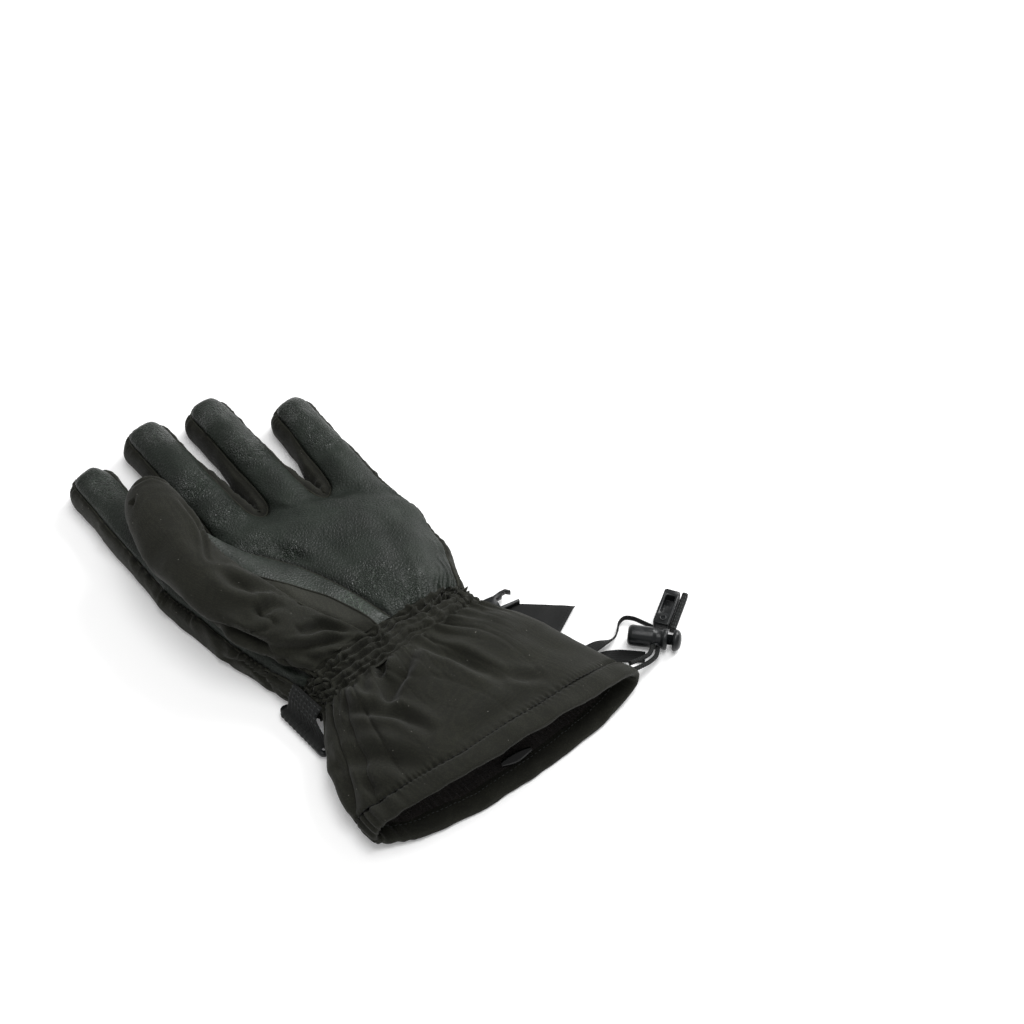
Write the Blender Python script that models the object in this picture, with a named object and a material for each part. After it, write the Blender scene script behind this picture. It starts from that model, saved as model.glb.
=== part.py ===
"""Winter glove for the left hand, lying palm up: padded softshell with a
leather-look palm, gathered wrist, flared cuff, lining, straps and drawcord.
Sizes are millimetres here; the meshes are made in metres.
X runs to the little-finger side, Y to the fingertips, Z up from the floor."""
import math

import bpy
from mathutils import Vector

MM = 0.001

# hand
WRIST_Y = -44.0       # end of the hand, where the elastic gathers begin
PALM_WIDTH = 137.0    # seam to seam at the finger roots
PALM_LENGTH = 106.0   # wrist to finger roots
PALM_HEIGHT = 29.5
FINGER_LENGTH = 95.5  # middle finger, root to tip
FINGER_WIDTH = 26.0   # seam to seam
FINGER_HEIGHT = 26.5
SIDE_BULGE = 3.0      # how far finger and palm sides stand out past the seam
CROTCH_DIP = 2.5      # the web between two fingers sits lower in its middle
THUMB_LENGTH = 50.6   # free part
THUMB_WIDTH = 36.4
THUMB_DEPTH = 24.8
THUMB_CLEAR = 2.1     # between the thumb and the finger below it
THUMB_LIFT = 1.6      # how much the thumb rises to its tip
# wrist, cuff and lining
BAND_LENGTH = 20.0
CUFF_LENGTH = 88.0
CUFF_WIDTH = 164.0
CUFF_HEIGHT = 37.0
HEM_DEPTH = 12.0
HEM_ROLL = 4.4        # thickness of the rolled hem
# cloth
PAD_WALL = 3.0        # padded cloth of hand, thumb and wrist
CUFF_WALL = 2.0
LINING_WALL = 1.5
SEAM_GAP = 0.2        # each piece is drawn back this far from a seam
JOINT_GAP = 0.35      # between rings that follow one another
SKIN_GAP = 0.3        # between cuff and lining
# straps and fittings
WEBBING = 1.6
TAPE = 0.9
LABEL_THICK = 0.8
LABEL_Z = 2.0
BUCKLE_BAR = 2.6
BUCKLE_THICK = 3.0
CORD_D = 2.4

ROOT_Y = WRIST_Y + PALM_LENGTH
CUFF_Y = WRIST_Y - BAND_LENGTH
THUMB_TOP = FINGER_HEIGHT + THUMB_CLEAR + THUMB_DEPTH
AROUND = 48

# name, base x, tip x (of palm width), reach (of finger length),
# half width at base and tip (of finger width), seam z, crown z (of finger height)
FINGERS = (
    ("index", -0.428, -0.412, 0.916, 0.508, 0.469, 0.698, 0.962),
    ("middle", -0.13, -0.114, 1, 0.5, 0.485, 0.736, 1),
    ("ring", 0.123, 0.149, 0.932, 0.485, 0.469, 0.736, 1),
    ("little", 0.378, 0.42, 0.623, 0.523, 0.446, 0.717, 0.962),
)
FINGERS = tuple((n, bx * PALM_WIDTH, tx * PALM_WIDTH, ROOT_Y + r * FINGER_LENGTH,
                 bw * FINGER_WIDTH, tw * FINGER_WIDTH, sz * FINGER_HEIGHT, cz * FINGER_HEIGHT)
                for n, bx, tx, r, bw, tw, sz, cz in FINGERS)
# x (of palm width), y (of palm length): where the fingers leave the palm
CROTCH_LINE = ((-0.555, 0.953), (-0.285, 0.991), (-0.007, 1.009), (0.241, 0.906), (0.482, 0.849))
CROTCH_LINE = tuple((x * PALM_WIDTH, WRIST_Y + y * PALM_LENGTH) for x, y in CROTCH_LINE)
# y (of palm length), left and right seam x (of palm width), seam z, crown z (of palm height)
PALM_ROWS = (
    (0, -0.387, 0.372, 0.542, 0.932),
    (0.094, -0.412, 0.409, 0.559, 0.983),
    (0.226, -0.445, 0.453, 0.576, 1),
    (0.415, -0.478, 0.482, 0.593, 0.983),
    (0.604, -0.493, 0.489, 0.61, 0.949),
    (0.792, -0.511, 0.485, 0.627, 0.898),
    (1, -0.527, 0.476, 0.627, 0.864),
)
PALM_ROWS = tuple((WRIST_Y + y * PALM_LENGTH, a * PALM_WIDTH, b * PALM_WIDTH,
                   c * PALM_HEIGHT, d * PALM_HEIGHT) for y, a, b, c, d in PALM_ROWS)
# y (of palm length), x (of palm width): crease between palm and thumb gusset
CREASE = ((0, 0.051), (0.189, 0.029), (0.33, 0), (0.519, -0.051), (0.708, -0.131),
          (0.811, -0.19), (0.981, -0.285))
CREASE = tuple((WRIST_Y + y * PALM_LENGTH, x * PALM_WIDTH) for y, x in CREASE)
PALM_STEPS = (0.0, 0.09, 0.18, 0.29, 0.41, 0.53, 0.65, 0.76, 0.86, 0.94, 1.0)
THUMB_ROW = 9         # palm row at which the thumb comes free
# y (of palm length), x (of palm width) and z (of thumb top) of the gusset seam,
# the ridge and the outer side
THUMB_BASE = (
    (0, -0.073, 0.536, -0.204, 0.543, -0.328, 0.459),
    (0.113, -0.124, 0.609, -0.263, 0.684, -0.409, 0.524),
    (0.283, -0.197, 0.702, -0.336, 0.824, -0.482, 0.609),
    (0.491, -0.255, 0.777, -0.391, 0.918, -0.536, 0.684),
    (0.698, -0.296, 0.815, -0.42, 0.974, -0.555, 0.73),
    (0.915, -0.288, 0.843, -0.416, 1.002, -0.547, 0.758),
)
THUMB_BASE = tuple((WRIST_Y + r[0] * PALM_LENGTH,) +
                   tuple(v * (PALM_WIDTH if k % 2 == 0 else THUMB_TOP) for k, v in enumerate(r[1:]))
                   for r in THUMB_BASE)
# reach (of thumb length), centre x (of palm width), lift (of thumb lift),
# half width (of thumb width), half height (of thumb depth)
THUMB_TUBE = (
    (0.158, -0.409, 0, 0.5, 0.5),
    (0.356, -0.396, 0.312, 0.5, 0.5),
    (0.553, -0.382, 0.5, 0.489, 0.492),
    (0.731, -0.371, 0.625, 0.445, 0.46),
    (0.87, -0.362, 0.812, 0.352, 0.387),
    (0.958, -0.357, 0.938, 0.214, 0.25),
    (1.0, -0.355, 1.0, 0.0, 0.0),
)
THUMB_START = WRIST_Y + 0.906 * PALM_LENGTH
THUMB_TUBE = tuple((THUMB_START + y * THUMB_LENGTH, x * PALM_WIDTH,
                    THUMB_TOP - THUMB_DEPTH / 2 + z * THUMB_LIFT, rx * THUMB_WIDTH, rz * THUMB_DEPTH)
                   for y, x, z, rx, rz in THUMB_TUBE)
# outward (of bulge), height (of seam height) down the sides
SIDE_PROFILE = ((0.75, 0.74), (1.0, 0.46), (0.72, 0.15), (-0.35, 0.0))
# y (of cuff length), left x, right x (of cuff width), side z, top z (of cuff height)
CUFF_SECTIONS = (
    (0, -0.32, 0.323, 0.405, 0.77),
    (0.159, -0.381, 0.378, 0.405, 0.851),
    (0.318, -0.427, 0.418, 0.378, 0.919),
    (0.511, -0.457, 0.451, 0.351, 0.973),
    (0.693, -0.47, 0.488, 0.338, 1),
    (0.864, -0.466, 0.518, 0.338, 1),
    (1.045, -0.463, 0.54, 0.338, 1),
)
CUFF_SECTIONS = tuple((CUFF_Y - y * CUFF_LENGTH, a * CUFF_WIDTH, b * CUFF_WIDTH,
                       c * CUFF_HEIGHT, d * CUFF_HEIGHT) for y, a, b, c, d in CUFF_SECTIONS)
# x (of cuff width), y (of cuff length) of the lip on the upper and the lower side
LIP_LINE = ((-0.47, 0.795, 0.795), (-0.335, 0.864, 0.909), (-0.122, 0.949, 0.989),
            (0.152, 0.972, 1), (0.366, 0.955, 0.977), (0.537, 0.92, 0.92))
LIP_LINE = tuple((x * CUFF_WIDTH, CUFF_Y - a * CUFF_LENGTH, CUFF_Y - b * CUFF_LENGTH)
                 for x, a, b in LIP_LINE)
CUFF_STEPS = (0.0, 0.14, 0.3, 0.5, 0.75, 1.0)


def table_at(table, x, column):
    """Value of a column at x, straight between the rows of a sorted table."""
    rows = sorted(table)
    if x <= rows[0][0]:
        return rows[0][column]
    for a, b in zip(rows, rows[1:]):
        if x <= b[0]:
            t = (x - a[0]) / (b[0] - a[0])
            return a[column] + (b[column] - a[column]) * t
    return rows[-1][column]


def mix(a, b, t):
    return a + (b - a) * t


def smooth(t):
    t = min(1.0, max(0.0, t))
    return t * t * (3 - 2 * t)


class Surface:
    """Points and labelled faces of one outer skin."""

    def __init__(self):
        self.points, self.faces, self.labels = [], [], []

    def point(self, x, y, z):
        self.points.append(Vector((x, y, z)))
        return len(self.points) - 1

    def face(self, label, *corners):
        self.faces.append(corners)
        self.labels.append(label)

    def normals(self):
        """Unit normals; at a seam each label counts the same."""
        total = [{} for _ in self.points]
        for f, label in zip(self.faces, self.labels):
            a, c = self.points[f[0]], self.points[f[2]]
            b, d = self.points[f[1]], self.points[f[-1]]
            n = (c - a).cross(d - b) if len(f) == 4 else (b - a).cross(c - a)
            for i in f:
                total[i].setdefault(label, Vector())
                total[i][label] += n
        return [sum((v.normalized() for v in t.values()), Vector()).normalized() for t in total]


def palm_plan(across, between):
    """Columns of the hand at the crotch line: lane number, u inside it, x."""
    columns = []
    for k, (name, bx, tx, ty, bw, tw, sz, cz) in enumerate(FINGERS):
        for i in range(across + 1):
            u = -1 + 2 * i / across
            columns.append((k, u, bx + bw * u))
        if k < 3:
            nxt = FINGERS[k + 1]
            x0, x1 = bx + bw, nxt[1] - nxt[4]
            for i in range(1, between):
                columns.append((None, i / between, mix(x0, x1, i / between)))
    return columns


def hand_surface(across=5, between=2, straight=3, tip_steps=(0.42, 0.76, 1.0),
                 thumb_parts=(2, 2, 3, 2)):
    """Whole outer skin of the hand and thumb, open at the wrist."""
    s = Surface()
    cols = palm_plan(across, between)
    last, rows = len(cols) - 1, len(PALM_STEPS) - 1
    crease_col = across + 1
    x_left, x_right = cols[0][2], cols[-1][2]

    def plan(c, j, warp):
        lane, u, x = cols[c]
        yc = table_at(CROTCH_LINE, x, 1) - (CROTCH_DIP if lane is None else 0.0)
        y = mix(WRIST_Y, yc, PALM_STEPS[j])
        if j == 0:
            y = WRIST_Y
        q = (x - x_left) / (x_right - x_left)
        lo, hi = table_at(PALM_ROWS, y, 1), table_at(PALM_ROWS, y, 2)
        t = smooth((j / rows - 0.6) / 0.4)
        lo, hi = mix(lo, x_left, t), mix(hi, x_right, t)
        if warp:
            qc = (cols[crease_col][2] - x_left) / (x_right - x_left)
            yj = mix(WRIST_Y, table_at(CROTCH_LINE, cols[crease_col][2], 1), PALM_STEPS[j])
            want = (table_at(CREASE, yj, 1) - lo) / (hi - lo)
            want = mix(want, qc, smooth((j - rows + 1) / 1.0) if j == rows else 0.0)
            q = q * want / qc if q < qc else 1 - (1 - q) * (1 - want) / (1 - qc)
        return mix(lo, hi, q), y, q

    def top_z(c, j, y, q):
        lane, u, x = cols[c]
        seam, crown = table_at(PALM_ROWS, y, 3), table_at(PALM_ROWS, y, 4)
        g = 2 * q - 1
        palm = seam + (crown - seam) * (1 - abs(g) ** 3.4)
        b = smooth((j / rows - 0.72) / 0.28)
        if lane is None:
            return mix(palm, min(FINGERS[0][6], FINGERS[-1][6]), b)
        f = FINGERS[lane]
        return mix(palm, f[6] + (f[7] - f[6]) * (1 - abs(u) ** 2.4), b)

    top, low = {}, {}
    for j in range(rows + 1):
        for c in range(last + 1):
            x, y, q = plan(c, j, True)
            top[c, j] = s.point(x, y, top_z(c, j, y, q))
            if 0 < c < last and (j < rows or cols[c][0] is not None and abs(cols[c][1]) < 1):
                x, y, q = plan(c, j, False)
                low[c, j] = s.point(x, y, 0.0)

    # finger rows above the crotch line
    first_col = [k * (across + between) for k in range(4)]
    finger_rows = straight + len(tip_steps)
    for k, (name, bx, tx, ty, bw, tw, sz, cz) in enumerate(FINGERS):
        y1 = ty - tw * 1.08
        for r in range(1, finger_rows + 1):
            for i in range(across + 1):
                u = -1 + 2 * i / across
                c = first_col[k] + i
                y0 = s.points[top[c, rows]].y
                if r <= straight:
                    t = r / straight
                    x, y, tip = mix(bx, tx, t) + mix(bw, tw, t) * u, mix(y0, y1, t), 0.0
                else:
                    tip = tip_steps[r - straight - 1]
                    x = tx + tw * u * math.sqrt(1 - tip * tip / 2)
                    y = y1 + tw * 1.08 * tip * math.sqrt(1 - u * u / 2)
                z = sz - 1.5 * tip + (cz - sz + 1.5 * tip) * (1 - abs(u) ** 2.4) * (1 - tip ** 3.0)
                top[c, rows + r] = s.point(x, y, z)
                if 0 < i < across and r < finger_rows:
                    low[c, rows + r] = s.point(x, y, 0.0)

    # seam loop from the wrist round all fingers back to the wrist
    loop = [(0, j) for j in range(rows + 1)]
    for k in range(4):
        c0, c1 = first_col[k], first_col[k] + across
        loop += [(c0, rows + r) for r in range(1, finger_rows + 1)]
        loop += [(c, rows + finger_rows) for c in range(c0 + 1, c1 + 1)]
        loop += [(c1, rows + r) for r in range(finger_rows - 1, -1, -1)]
        if k < 3:
            loop += [(c, rows) for c in range(c1 + 1, c1 + between + 1)]
    loop += [(last, j) for j in range(rows - 1, -1, -1)]
    ring = [top[key] for key in loop]
    rim = [ring]
    for out, up in SIDE_PROFILE:
        row = []
        for n, i in enumerate(ring):
            a, b = s.points[ring[max(0, n - 1)]], s.points[ring[min(len(ring) - 1, n + 1)]]
            p = s.points[i]
            e0, e1 = (p - a).xy, (b - p).xy
            e0 = e0.normalized() if e0.length else e0
            e1 = e1.normalized() if e1.length else e1
            d = (e0 + e1).normalized()
            side = Vector((-d.y, d.x))
            if n in (0, len(ring) - 1):
                side = Vector((-1.0 if n == 0 else 1.0, 0.0))
            row.append(s.point(p.x + side.x * out * SIDE_BULGE, p.y + side.y * out * SIDE_BULGE, p.z * up))
        rim.append(row)
    for a, b in zip(rim, rim[1:]):
        for n in range(len(ring) - 1):
            s.face("back_shell", a[n], a[n + 1], b[n + 1], b[n])
    for key, i in zip(loop, rim[-1]):
        low[key] = i

    def grid_cells():
        for j in range(rows):
            for c in range(last):
                yield c, j
        for k in range(4):
            for r in range(finger_rows):
                for c in range(first_col[k], first_col[k] + across):
                    yield c, rows + r

    for c, j in grid_cells():
        under_thumb = j < THUMB_ROW and 1 <= c < crease_col
        if not under_thumb:
            s.face("palm_panel", top[c, j], top[c + 1, j], top[c + 1, j + 1], top[c, j + 1])
        s.face("back_shell", low[c, j], low[c, j + 1], low[c + 1, j + 1], low[c + 1, j])

    # thumb: sections over the mound, then free rings
    na, nb, nc, nd = thumb_parts
    over = na + nb + nc + nd
    knots = (0, na, na + nb, na + nb + nc, over)

    def section(points):
        """Curve through five points with the given number of steps each."""
        out = []
        ext = [points[0] * 2 - points[1]] + points + [points[-1] * 2 - points[-2]]
        for part in range(4):
            steps = thumb_parts[part]
            a, b, c, d = ext[part:part + 4]
            for i in range(steps):
                t = i / steps
                out.append(0.5 * ((2 * b) + (c - a) * t + (2 * a - 5 * b + 4 * c - d) * t * t
                                  + (3 * b - a - 3 * c + d) * t ** 3))
        return out + [points[-1]]

    rings = []
    for j in range(THUMB_ROW + 1):
        c_pt, l_pt = s.points[top[crease_col, j]], s.points[top[1, j]]
        y = c_pt.y
        v = [table_at(THUMB_BASE, y, k) for k in range(1, 7)]
        pts = [Vector((c_pt.x, 0, c_pt.z)), Vector((v[0], 0, v[1])), Vector((v[2], 0, v[3])),
               Vector((v[4], 0, v[5])), Vector((l_pt.x, 0, l_pt.z))]
        row = [top[crease_col, j]]
        curve = section(pts)
        for i in range(1, over):
            p = curve[i]
            row.append(s.point(p.x, mix(c_pt.y, l_pt.y, i / over), p.z))
        row.append(top[1, j])
        rings.append(row)
    for a, b in zip(rings, rings[1:]):
        for i in range(over):
            label = "thumb_crescent" if i < na else "thumb_shell"
            s.face(label, a[i + 1], a[i], b[i], b[i + 1])

    angles = (-52.0, 28.0, 90.0, 176.0, 232.0)
    full = []
    for part in range(4):
        for i in range(thumb_parts[part]):
            full.append(mix(angles[part], angles[part + 1], i / thumb_parts[part]))
    under = crease_col - 1
    full += [mix(232.0, 308.0, i / under) for i in range(under)]
    base = rings[-1] + [top[c, THUMB_ROW] for c in range(2, crease_col)]
    for row in THUMB_TUBE[:-1]:
        y, cx, cz, rx, rz = row
        new = [s.point(cx + rx * math.cos(math.radians(t)), y, cz + rz * math.sin(math.radians(t)))
               for t in full]
        for i in range(len(full)):
            k = (i + 1) % len(full)
            s.face("thumb_shell", base[k], base[i], new[i], new[k])
        base = new
    tip = s.point(THUMB_TUBE[-1][1], THUMB_TUBE[-1][0], THUMB_TUBE[-1][2])
    for i in range(len(full)):
        s.face("thumb_shell", base[(i + 1) % len(full)], base[i], tip)

    wrist = [top[c, 0] for c in range(0, 2)] + list(reversed(rings[0][:-1]))
    wrist += [top[c, 0] for c in range(crease_col + 1, last + 1)]
    wrist += [r[-1] for r in rim[1:]] + [low[c, 0] for c in range(last - 1, 0, -1)]
    wrist += [r[0] for r in reversed(rim[1:])]
    crotch = set(top[c, THUMB_ROW] for c in range(1, crease_col + 1))
    return s, [s.points[i].copy() for i in wrist], crotch, set(ring)


def cut_piece(s, normals, label, wall, crotch, seam):
    """Closed padded solid from the faces of one label: outer skin, inner skin, edges."""
    faces = [f for f, l in zip(s.faces, s.labels) if l == label]
    count = {}
    for f in faces:
        for a, b in zip(f, f[1:] + f[:1]):
            count[a, b] = count.get((a, b), 0) + 1
    edges = [e for e in count if (e[1], e[0]) not in count]
    border = {}
    for a, b in edges:
        border.setdefault(a, []).append(b)
        border.setdefault(b, []).append(a)
    toward = {}
    for f in faces:
        mid = sum((s.points[i] for i in f), Vector()) / len(f)
        for i in f:
            if i in border:
                toward.setdefault(i, Vector())
                toward[i] += (mid - s.points[i]).normalized()
    used = sorted(set(i for f in faces for i in f))
    where = {i: n for n, i in enumerate(used)}
    outer, inner = [], []
    for i in used:
        p, n = s.points[i].copy(), normals[i].copy()
        at_wrist = abs(p.y - WRIST_Y) < 1e-6
        if at_wrist:
            n.y = 0
            n.normalize()
        shift = Vector()
        if i in border:
            d = toward[i]
            along = (s.points[border[i][0]] - s.points[border[i][-1]])
            if along.length > 1e-9:
                along.normalize()
                d = d - along * d.dot(along)
            if at_wrist:
                d.y = 0
                free = all(abs(s.points[k].y - WRIST_Y) < 1e-6 for k in border[i])
                if free:
                    d = Vector()
            if d.length > 1e-9:
                shift = d.normalized() * SEAM_GAP
            if i in crotch:
                shift = Vector((0, 0, -0.3 if label == "palm_panel" else 0.75))
            elif i in seam:
                square = along.cross(n)
                if square.length > 0.1:
                    square = square.normalized() * SEAM_GAP * 1.6
                    shift = square if square.dot(d) > 0 else -square
            if at_wrist:
                shift.y = 0
        outer.append(p + shift)
        inner.append(p - n * wall + shift)
    total = len(used)
    solid = [tuple(where[i] for i in f) for f in faces]
    solid += [tuple(where[i] + total for i in reversed(f)) for f in faces]
    for a, b in edges:
        oa, ob, ia, ib = where[a], where[b], where[a] + total, where[b] + total
        # both pieces of a seam split this strip along the same diagonal
        if a < b:
            solid += [(ob, oa, ib), (oa, ia, ib)]
        else:
            solid += [(ob, oa, ia), (ob, ia, ib)]
    return outer + inner, solid


# colour, roughness, metallic of each material
MATERIALS = {
    "leather": ((0.030, 0.037, 0.038), 0.45, 0.0),
    "softshell": ((0.036, 0.035, 0.028), 0.85, 0.0),
    "fleece": ((0.012, 0.010, 0.009), 0.95, 0.0),
    "webbing": ((0.012, 0.013, 0.014), 0.7, 0.0),
    "plastic": ((0.012, 0.014, 0.015), 0.3, 0.0),
}


def material(name):
    mat = bpy.data.materials.get(name)
    if mat is None:
        colour, rough, metal = MATERIALS[name]
        mat = bpy.data.materials.new(name)
        mat.use_nodes = True
        shader = mat.node_tree.nodes["Principled BSDF"]
        shader.inputs["Base Color"].default_value = (*colour, 1)
        shader.inputs["Roughness"].default_value = rough
        shader.inputs["Metallic"].default_value = metal
    return mat


def place(name, data, kind, at):
    obj = bpy.data.objects.new(name, data)
    data.materials.append(material(kind))
    obj.location = at * MM
    obj.parent = bpy.data.objects["glove"]
    bpy.context.scene.collection.objects.link(obj)
    return obj


def add_mesh(name, kind, points, faces):
    """Mesh object at the middle of its points, turned the right way out by its volume."""
    at = sum(points, Vector()) / len(points) if kind in ("plastic", "webbing") else Vector()
    volume = 0.0
    for f in faces:
        for b, c in zip(f[1:], f[2:]):
            volume += (points[f[0]] - at).dot((points[b] - at).cross(points[c] - at))
    if volume < 0:
        faces = [tuple(reversed(f)) for f in faces]
    mesh = bpy.data.meshes.new(name)
    mesh.from_pydata([tuple((p - at) * MM) for p in points], [], faces)
    mesh.update()
    if kind != "plastic":
        mesh.shade_smooth()
    return place(name, mesh, kind, at)


def add_rings(name, kind, rings, closed_section=False):
    """Solid from rings of equal length; the first and last are joined if asked."""
    points = [p for ring in rings for p in ring]
    n, m = len(rings[0]), len(rings)
    faces = []
    for j in range(m if closed_section else m - 1):
        k = (j + 1) % m
        for i in range(n):
            h = (i + 1) % n
            a, b, c, d = j * n + i, j * n + h, k * n + h, k * n + i
            # nested skins share their diagonals, so they keep their distance
            if points[a].y >= points[d].y:
                faces += [(a, b, c), (a, c, d)]
            else:
                faces += [(a, b, d), (b, c, d)]
    return add_mesh(name, kind, points, faces)


def cuff_outline(angle, y):
    """Point of the outer cuff surface at an angle round it and a length y."""
    lo, hi = table_at(CUFF_SECTIONS, y, 1), table_at(CUFF_SECTIONS, y, 2)
    side, crown = table_at(CUFF_SECTIONS, y, 3), table_at(CUFF_SECTIONS, y, 4)
    mid, half = (lo + hi) / 2, (hi - lo) / 2
    c, t = math.cos(angle), math.sin(angle)
    x = mid + half * c
    if t >= 0:
        power = mix(2.3, 1.8, smooth((CUFF_Y - y) / (0.8 * CUFF_LENGTH)))
        z = side + (crown - side) * max(0.0, 1 - abs(c) ** power) ** (1 / power)
    else:
        power = 3.6
        z = side * (1 - max(0.0, 1 - abs(c) ** power) ** (1 / power))
    return Vector((x, y, z))


# fold: angle in degrees, depth (of cuff height), width in degrees, start and end (of cuff length)
CUFF_FOLDS = (
    (112, -0.07, 8, 0, 0.545),
    (128, 0.043, 9, 0.023, 0.614),
    (97, 0.049, 9, 0, 0.455),
    (74, -0.049, 8, 0, 0.5),
    (60, 0.032, 10, 0, 0.545),
    (148, -0.038, 9, 0.295, 0.977),
    (40, -0.032, 9, 0.182, 0.807),
)


def fold_depth(angle, y):
    deg = math.degrees(angle) % 360
    total = 0.0
    for at, depth, width, y0, y1 in CUFF_FOLDS:
        t = ((CUFF_Y - y) / CUFF_LENGTH - y0) / (y1 - y0)
        if 0 < t < 1:
            total += depth * CUFF_HEIGHT * math.exp(-((deg - at) / width) ** 2) * math.sin(math.pi * t ** 0.7)
    return total


def lip_y(angle, x):
    t = smooth((math.sin(angle) + 0.25) / 0.5)
    return mix(table_at(LIP_LINE, x, 2), table_at(LIP_LINE, x, 1), t)


def cuff_skin(fractions, start, before_lip):
    """Outer rings of the cuff from y start to the lip less the given depth."""
    rings = []
    for f in fractions:
        ring = []
        for n in range(AROUND):
            a = 2 * math.pi * n / AROUND
            x = cuff_outline(a, CUFF_Y - 0.92 * CUFF_LENGTH)[0]
            end = lip_y(a, x) + before_lip
            y = mix(start, end, f)
            p = cuff_outline(a, y)
            out = Vector((math.cos(a), 0, math.sin(a))).normalized()
            ring.append(p + out * fold_depth(a, y))
        rings.append(ring)
    return rings


def ring_normals(rings):
    """Outward unit vectors square to the rings' own lengthwise run."""
    out = []
    for j, ring in enumerate(rings):
        row = []
        for n in range(len(ring)):
            t = ring[(n + 1) % len(ring)] - ring[n - 1]
            v = Vector((t.z, 0, -t.x))
            row.append(v.normalized())
        out.append(row)
    return out


def offset_rings(rings, depth):
    return [[p - v * depth for p, v in zip(r, vs)] for r, vs in zip(rings, ring_normals(rings))]


def build_hand():
    s, wrist, crotch, seam = hand_surface()
    normals = s.normals()
    for label, kind in (("palm_panel", "leather"), ("back_shell", "softshell"),
                        ("thumb_crescent", "leather"), ("thumb_shell", "softshell")):
        points, faces = cut_piece(s, normals, label, PAD_WALL, crotch, seam)
        add_mesh(label, kind, points, faces)
    return wrist


def ring_from_loop(loop, centre, half_x, half_z):
    """Even-angle ring on a closed polyline in the XZ plane."""
    ring = []
    for n in range(AROUND):
        a = 2 * math.pi * n / AROUND
        d = Vector((half_x * math.cos(a), half_z * math.sin(a)))
        best = None
        for p, q in zip(loop, loop[1:] + loop[:1]):
            e = Vector((q.x - p.x, q.z - p.z))
            w = Vector((p.x - centre[0], p.z - centre[1]))
            det = d.x * -e.y + d.y * e.x
            if abs(det) < 1e-12:
                continue
            t = (w.x * -e.y + w.y * e.x) / det
            u = (d.x * w.y - d.y * w.x) / det
            if t > 0 and -1e-6 <= u <= 1 + 1e-6:
                best = t if best is None else max(best, t)
        ring.append(Vector((centre[0] + d.x * best, loop[0].y, centre[1] + d.y * best)))
    return ring


def build_wrist(wrist):
    """Elastic gathers: rows pulled in, with puckers round the upper side."""
    middle = 0.5 * PALM_ROWS[0][4]
    first = ring_from_loop(wrist, (0.0, middle), 0.4 * PALM_WIDTH, middle)
    start, end = WRIST_Y - JOINT_GAP, CUFF_Y + JOINT_GAP
    last = cuff_skin((0.0,), CUFF_Y, HEM_DEPTH)[0]
    steps = 6
    rings = []
    for j in range(steps + 1):
        t = j / steps
        ring = []
        for n in range(AROUND):
            a = 2 * math.pi * n / AROUND
            p = first[n].lerp(last[n], smooth(t))
            up = smooth((math.sin(a) + 0.35) / 0.5)
            fade = math.sin(math.pi * t)
            pucker = math.cos(12 * a + (0.9 if j % 2 else -0.9))
            pull = -1.0 * fade + 1.1 * pucker * fade
            if j % 2 == 0:
                pull -= 0.5 * fade
            v = Vector((math.cos(a), 0, math.sin(a)))
            q = p + v * pull * up
            ring.append(Vector((q.x, mix(start, end, t), q.z)))
        rings.append(ring)
    inner = offset_rings(rings, PAD_WALL)
    add_rings("wrist_gathers", "softshell", rings + inner[::-1], True)


def build_cuff():
    skin = cuff_skin(CUFF_STEPS, CUFF_Y, HEM_DEPTH)
    add_rings("cuff_shell", "softshell", skin + offset_rings(skin, CUFF_WALL)[::-1], True)

    # rolled hem: share of its depth, share of its roll; out, round the lip, back inside
    roll = ((0.0, 0.05), (0.4, 0.2), (0.85, 0.1), (1.0, -0.3), (0.97, -0.77), (0.6, -1.0),
            (0.0, -0.86))
    top = cuff_skin((1.0,), CUFF_Y, HEM_DEPTH - 1.4 * JOINT_GAP)[0]
    lip = cuff_skin((1.0,), CUFF_Y, 0.0)[0]
    rings = []
    for f, out in roll:
        ring = []
        for n in range(AROUND):
            a = 2 * math.pi * n / AROUND
            y = mix(top[n].y, lip[n].y, f)
            p = cuff_outline(a, y)
            ring.append(p + Vector((math.cos(a), 0, math.sin(a))) * fold_depth(a, y))
        vs = ring_normals([ring])[0]
        if out > 0:
            ring = [p + v * (out * HEM_ROLL * smooth((p.z - HEM_ROLL) / (1.5 * HEM_ROLL)))
                    for p, v in zip(ring, vs)]
        else:
            ring = [p + v * (out * HEM_ROLL) for p, v in zip(ring, vs)]
        rings.append(ring)
    add_rings("cuff_hem", "softshell", rings, True)

    inner = skin[1:]
    outer = offset_rings(inner, CUFF_WALL + SKIN_GAP)
    deep = offset_rings(inner, CUFF_WALL + SKIN_GAP + LINING_WALL)
    add_rings("cuff_lining", "fleece", outer + deep[::-1], True)


def add_prism(name, kind, outline, z0, z1):
    """Upright solid from an outline in plan."""
    n = len(outline)
    points = [Vector((x, y, z0)) for x, y in outline] + [Vector((x, y, z1)) for x, y in outline]
    faces = [tuple(range(n - 1, -1, -1)), tuple(range(n, 2 * n))]
    faces += [(i, (i + 1) % n, n + (i + 1) % n, n + i) for i in range(n)]
    return add_mesh(name, kind, points, faces)


def smooth_path(rows, steps):
    """Catmull-Rom curve through the rows (tuples of numbers)."""
    pts = [list(r) for r in rows]
    pts = [[2 * a - b for a, b in zip(pts[0], pts[1])]] + pts + \
          [[2 * a - b for a, b in zip(pts[-1], pts[-2])]]
    out = []
    for k in range(1, len(pts) - 2):
        for i in range(steps):
            t = i / steps
            out.append([0.5 * (2 * b + (c - a) * t + (2 * a - 5 * b + 4 * c - d) * t * t
                               + (3 * b - a - 3 * c + d) * t ** 3)
                        for a, b, c, d in zip(pts[k - 1], pts[k], pts[k + 1], pts[k + 2])])
    out.append(pts[-2])
    return out


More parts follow.
